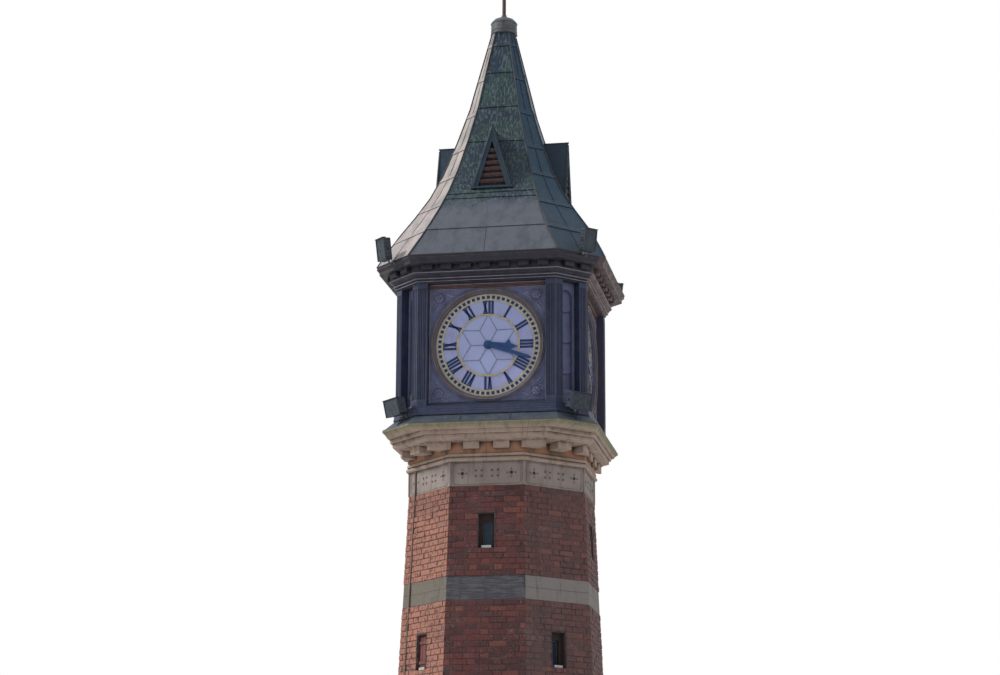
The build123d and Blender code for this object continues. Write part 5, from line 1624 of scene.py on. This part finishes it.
for lamp in lampKinds:
    for number in lamp["faces"]:
        addLamp(lamp, number)
makePiece(bm, "lampFittings", materials["lamp_metal"])
makePiece(glassBm, "lampGlasses", materials["lampGlass"])
makePiece(cableBm, "lampCables", materials["cable_grey"], smooth=True)

# Conductor down the front left corner of the shaft, over the plinth, clipped to the bricks
conductor = {
    "face": 7, "inset": 0.165, "radius": 0.011, "proud": 0.012, "plinth": 0.110, "foot": 0.165,
    "plinthTop": 0.835, "wallFoot": 0.93, "top": 7.70, "clipPitch": 0.62, "wander": 0.006,
    "clip": (0.022, 0.006, 0.009), "clipBed": 0.016,
}
rng = random.Random("conductor")
bm = bmesh.new()
place = turned(conductor["face"])


def besideCorner(z, out=0.0, sway=0.0):
    # A point in front of the wall, at the conductor's distance from the corner
    reach, wide = shaftFace(conductor["face"], z)
    return -wide + conductor["inset"] + sway, -reach - conductor["proud"] - out


footX, footY = besideCorner(0.17, conductor["plinth"])
line = [(footX, footY, conductor["foot"])]
line.append((footX, besideCorner(0.83, conductor["plinth"])[1], conductor["plinthTop"]))
z = conductor["wallFoot"]
while z < conductor["top"]:
    sway = rng.uniform(-conductor["wander"], conductor["wander"])
    line.append((*besideCorner(z, sway=sway), z))
    z += conductor["clipPitch"] / 2
line.append((*besideCorner(conductor["top"]), conductor["top"] + 0.015))
addTube(bm, line, conductor["radius"], place=place)
wide, deep, tall = conductor["clip"]
for x, y, z in line[2::2]:
    addBox(bm, (x - wide, y - deep, z - tall), (x + wide, y + conductor["clipBed"], z + tall), place)
makePiece(bm, "conductor", materials["cable_grey"], smooth=True)
print("lamps and conductor fitted")

# Camera at the photograph's viewpoint
cameraLook = {
    "place": (5.530, -31.467, 1.662), "pan": 10.041, "tilt": 14.085, "roll": 0.217, "lens": 86.4,
    "sensor": 36, "far": 200,
}
cameraData = bpy.data.cameras.new("photoView")
cameraData.lens = cameraLook["lens"]
cameraData.sensor_width = cameraLook["sensor"]
cameraData.clip_end = cameraLook["far"]
camera = bpy.data.objects.new("photoView", cameraData)
scene.collection.objects.link(camera)
pan, tilt, roll = (radians(cameraLook[key]) for key in ("pan", "tilt", "roll"))
forward = Vector((-sin(pan) * cos(tilt), cos(pan) * cos(tilt), sin(tilt)))
right = Vector((cos(pan), sin(pan), 0))
upward = right.cross(forward)
rolledRight = right * cos(roll) + upward * sin(roll)
rolledUp = upward * cos(roll) - right * sin(roll)
facing = Matrix((rolledRight, rolledUp, -forward)).transposed().to_4x4()
camera.matrix_world = Matrix.Translation(cameraLook["place"]) @ facing
scene.camera = camera

# Pale floor, white surroundings and soft studio light
floorLook = {"size": 120.0, "colour": (0.80, 0.80, 0.79), "roughness": 0.9}
bm = bmesh.new()
bmesh.ops.create_grid(bm, x_segments=1, y_segments=1, size=floorLook["size"] / 2)
floorMesh = bpy.data.meshes.new("studioFloor")
bm.to_mesh(floorMesh)
bm.free()
studioFloor = bpy.data.objects.new("studioFloor", floorMesh)
scene.collection.objects.link(studioFloor)
floorMaterial, tree, shader, place = startMaterial("studioFloor")
shader.inputs["Base Color"].default_value = colourOf(floorLook["colour"])
shader.inputs["Roughness"].default_value = floorLook["roughness"]
floorMesh.materials.append(floorMaterial)

# The surroundings look white, and light the tower less brightly than that. A sun's azimuth is counted
# from the front toward the right
worldLight = 0.46
suns = {
    "keyLight": {"energy": 3.2, "azimuth": -79, "elevation": 38, "softness": 10.0,
                 "colour": (1.0, 0.97, 0.93)},
    "fillLight": {"energy": 0.35, "azimuth": 75, "elevation": 30, "softness": 40,
                  "colour": (0.93, 0.96, 1.0)},
}
world = bpy.data.worlds.new("studio")
scene.world = world
world.use_nodes = True
tree = world.node_tree
background = tree.nodes["Background"]
background.inputs["Color"].default_value = (1, 1, 1, 1)
rays = tree.nodes.new("ShaderNodeLightPath").outputs
seen = addMath(tree, "MAXIMUM", rays["Is Camera Ray"], rays["Is Glossy Ray"])
seen = addMath(tree, "MAXIMUM", seen, rays["Is Transmission Ray"])
tree.links.new(addRange(tree, seen, start=worldLight, end=1.0), background.inputs["Strength"])
for name, sun in suns.items():
    data = bpy.data.lights.new(name, "SUN")
    data.energy = sun["energy"]
    data.angle = radians(sun["softness"])
    data.color = sun["colour"]
    azimuth, elevation = radians(sun["azimuth"]), radians(sun["elevation"])
    flat = cos(elevation)
    towards = Vector((sin(azimuth) * flat, -cos(azimuth) * flat, sin(elevation)))
    light = bpy.data.objects.new(name, data)
    light.rotation_euler = towards.to_track_quat("Z", "Y").to_euler()
    scene.collection.objects.link(light)

scene.view_settings.view_transform = "Standard"
print("scene finished")
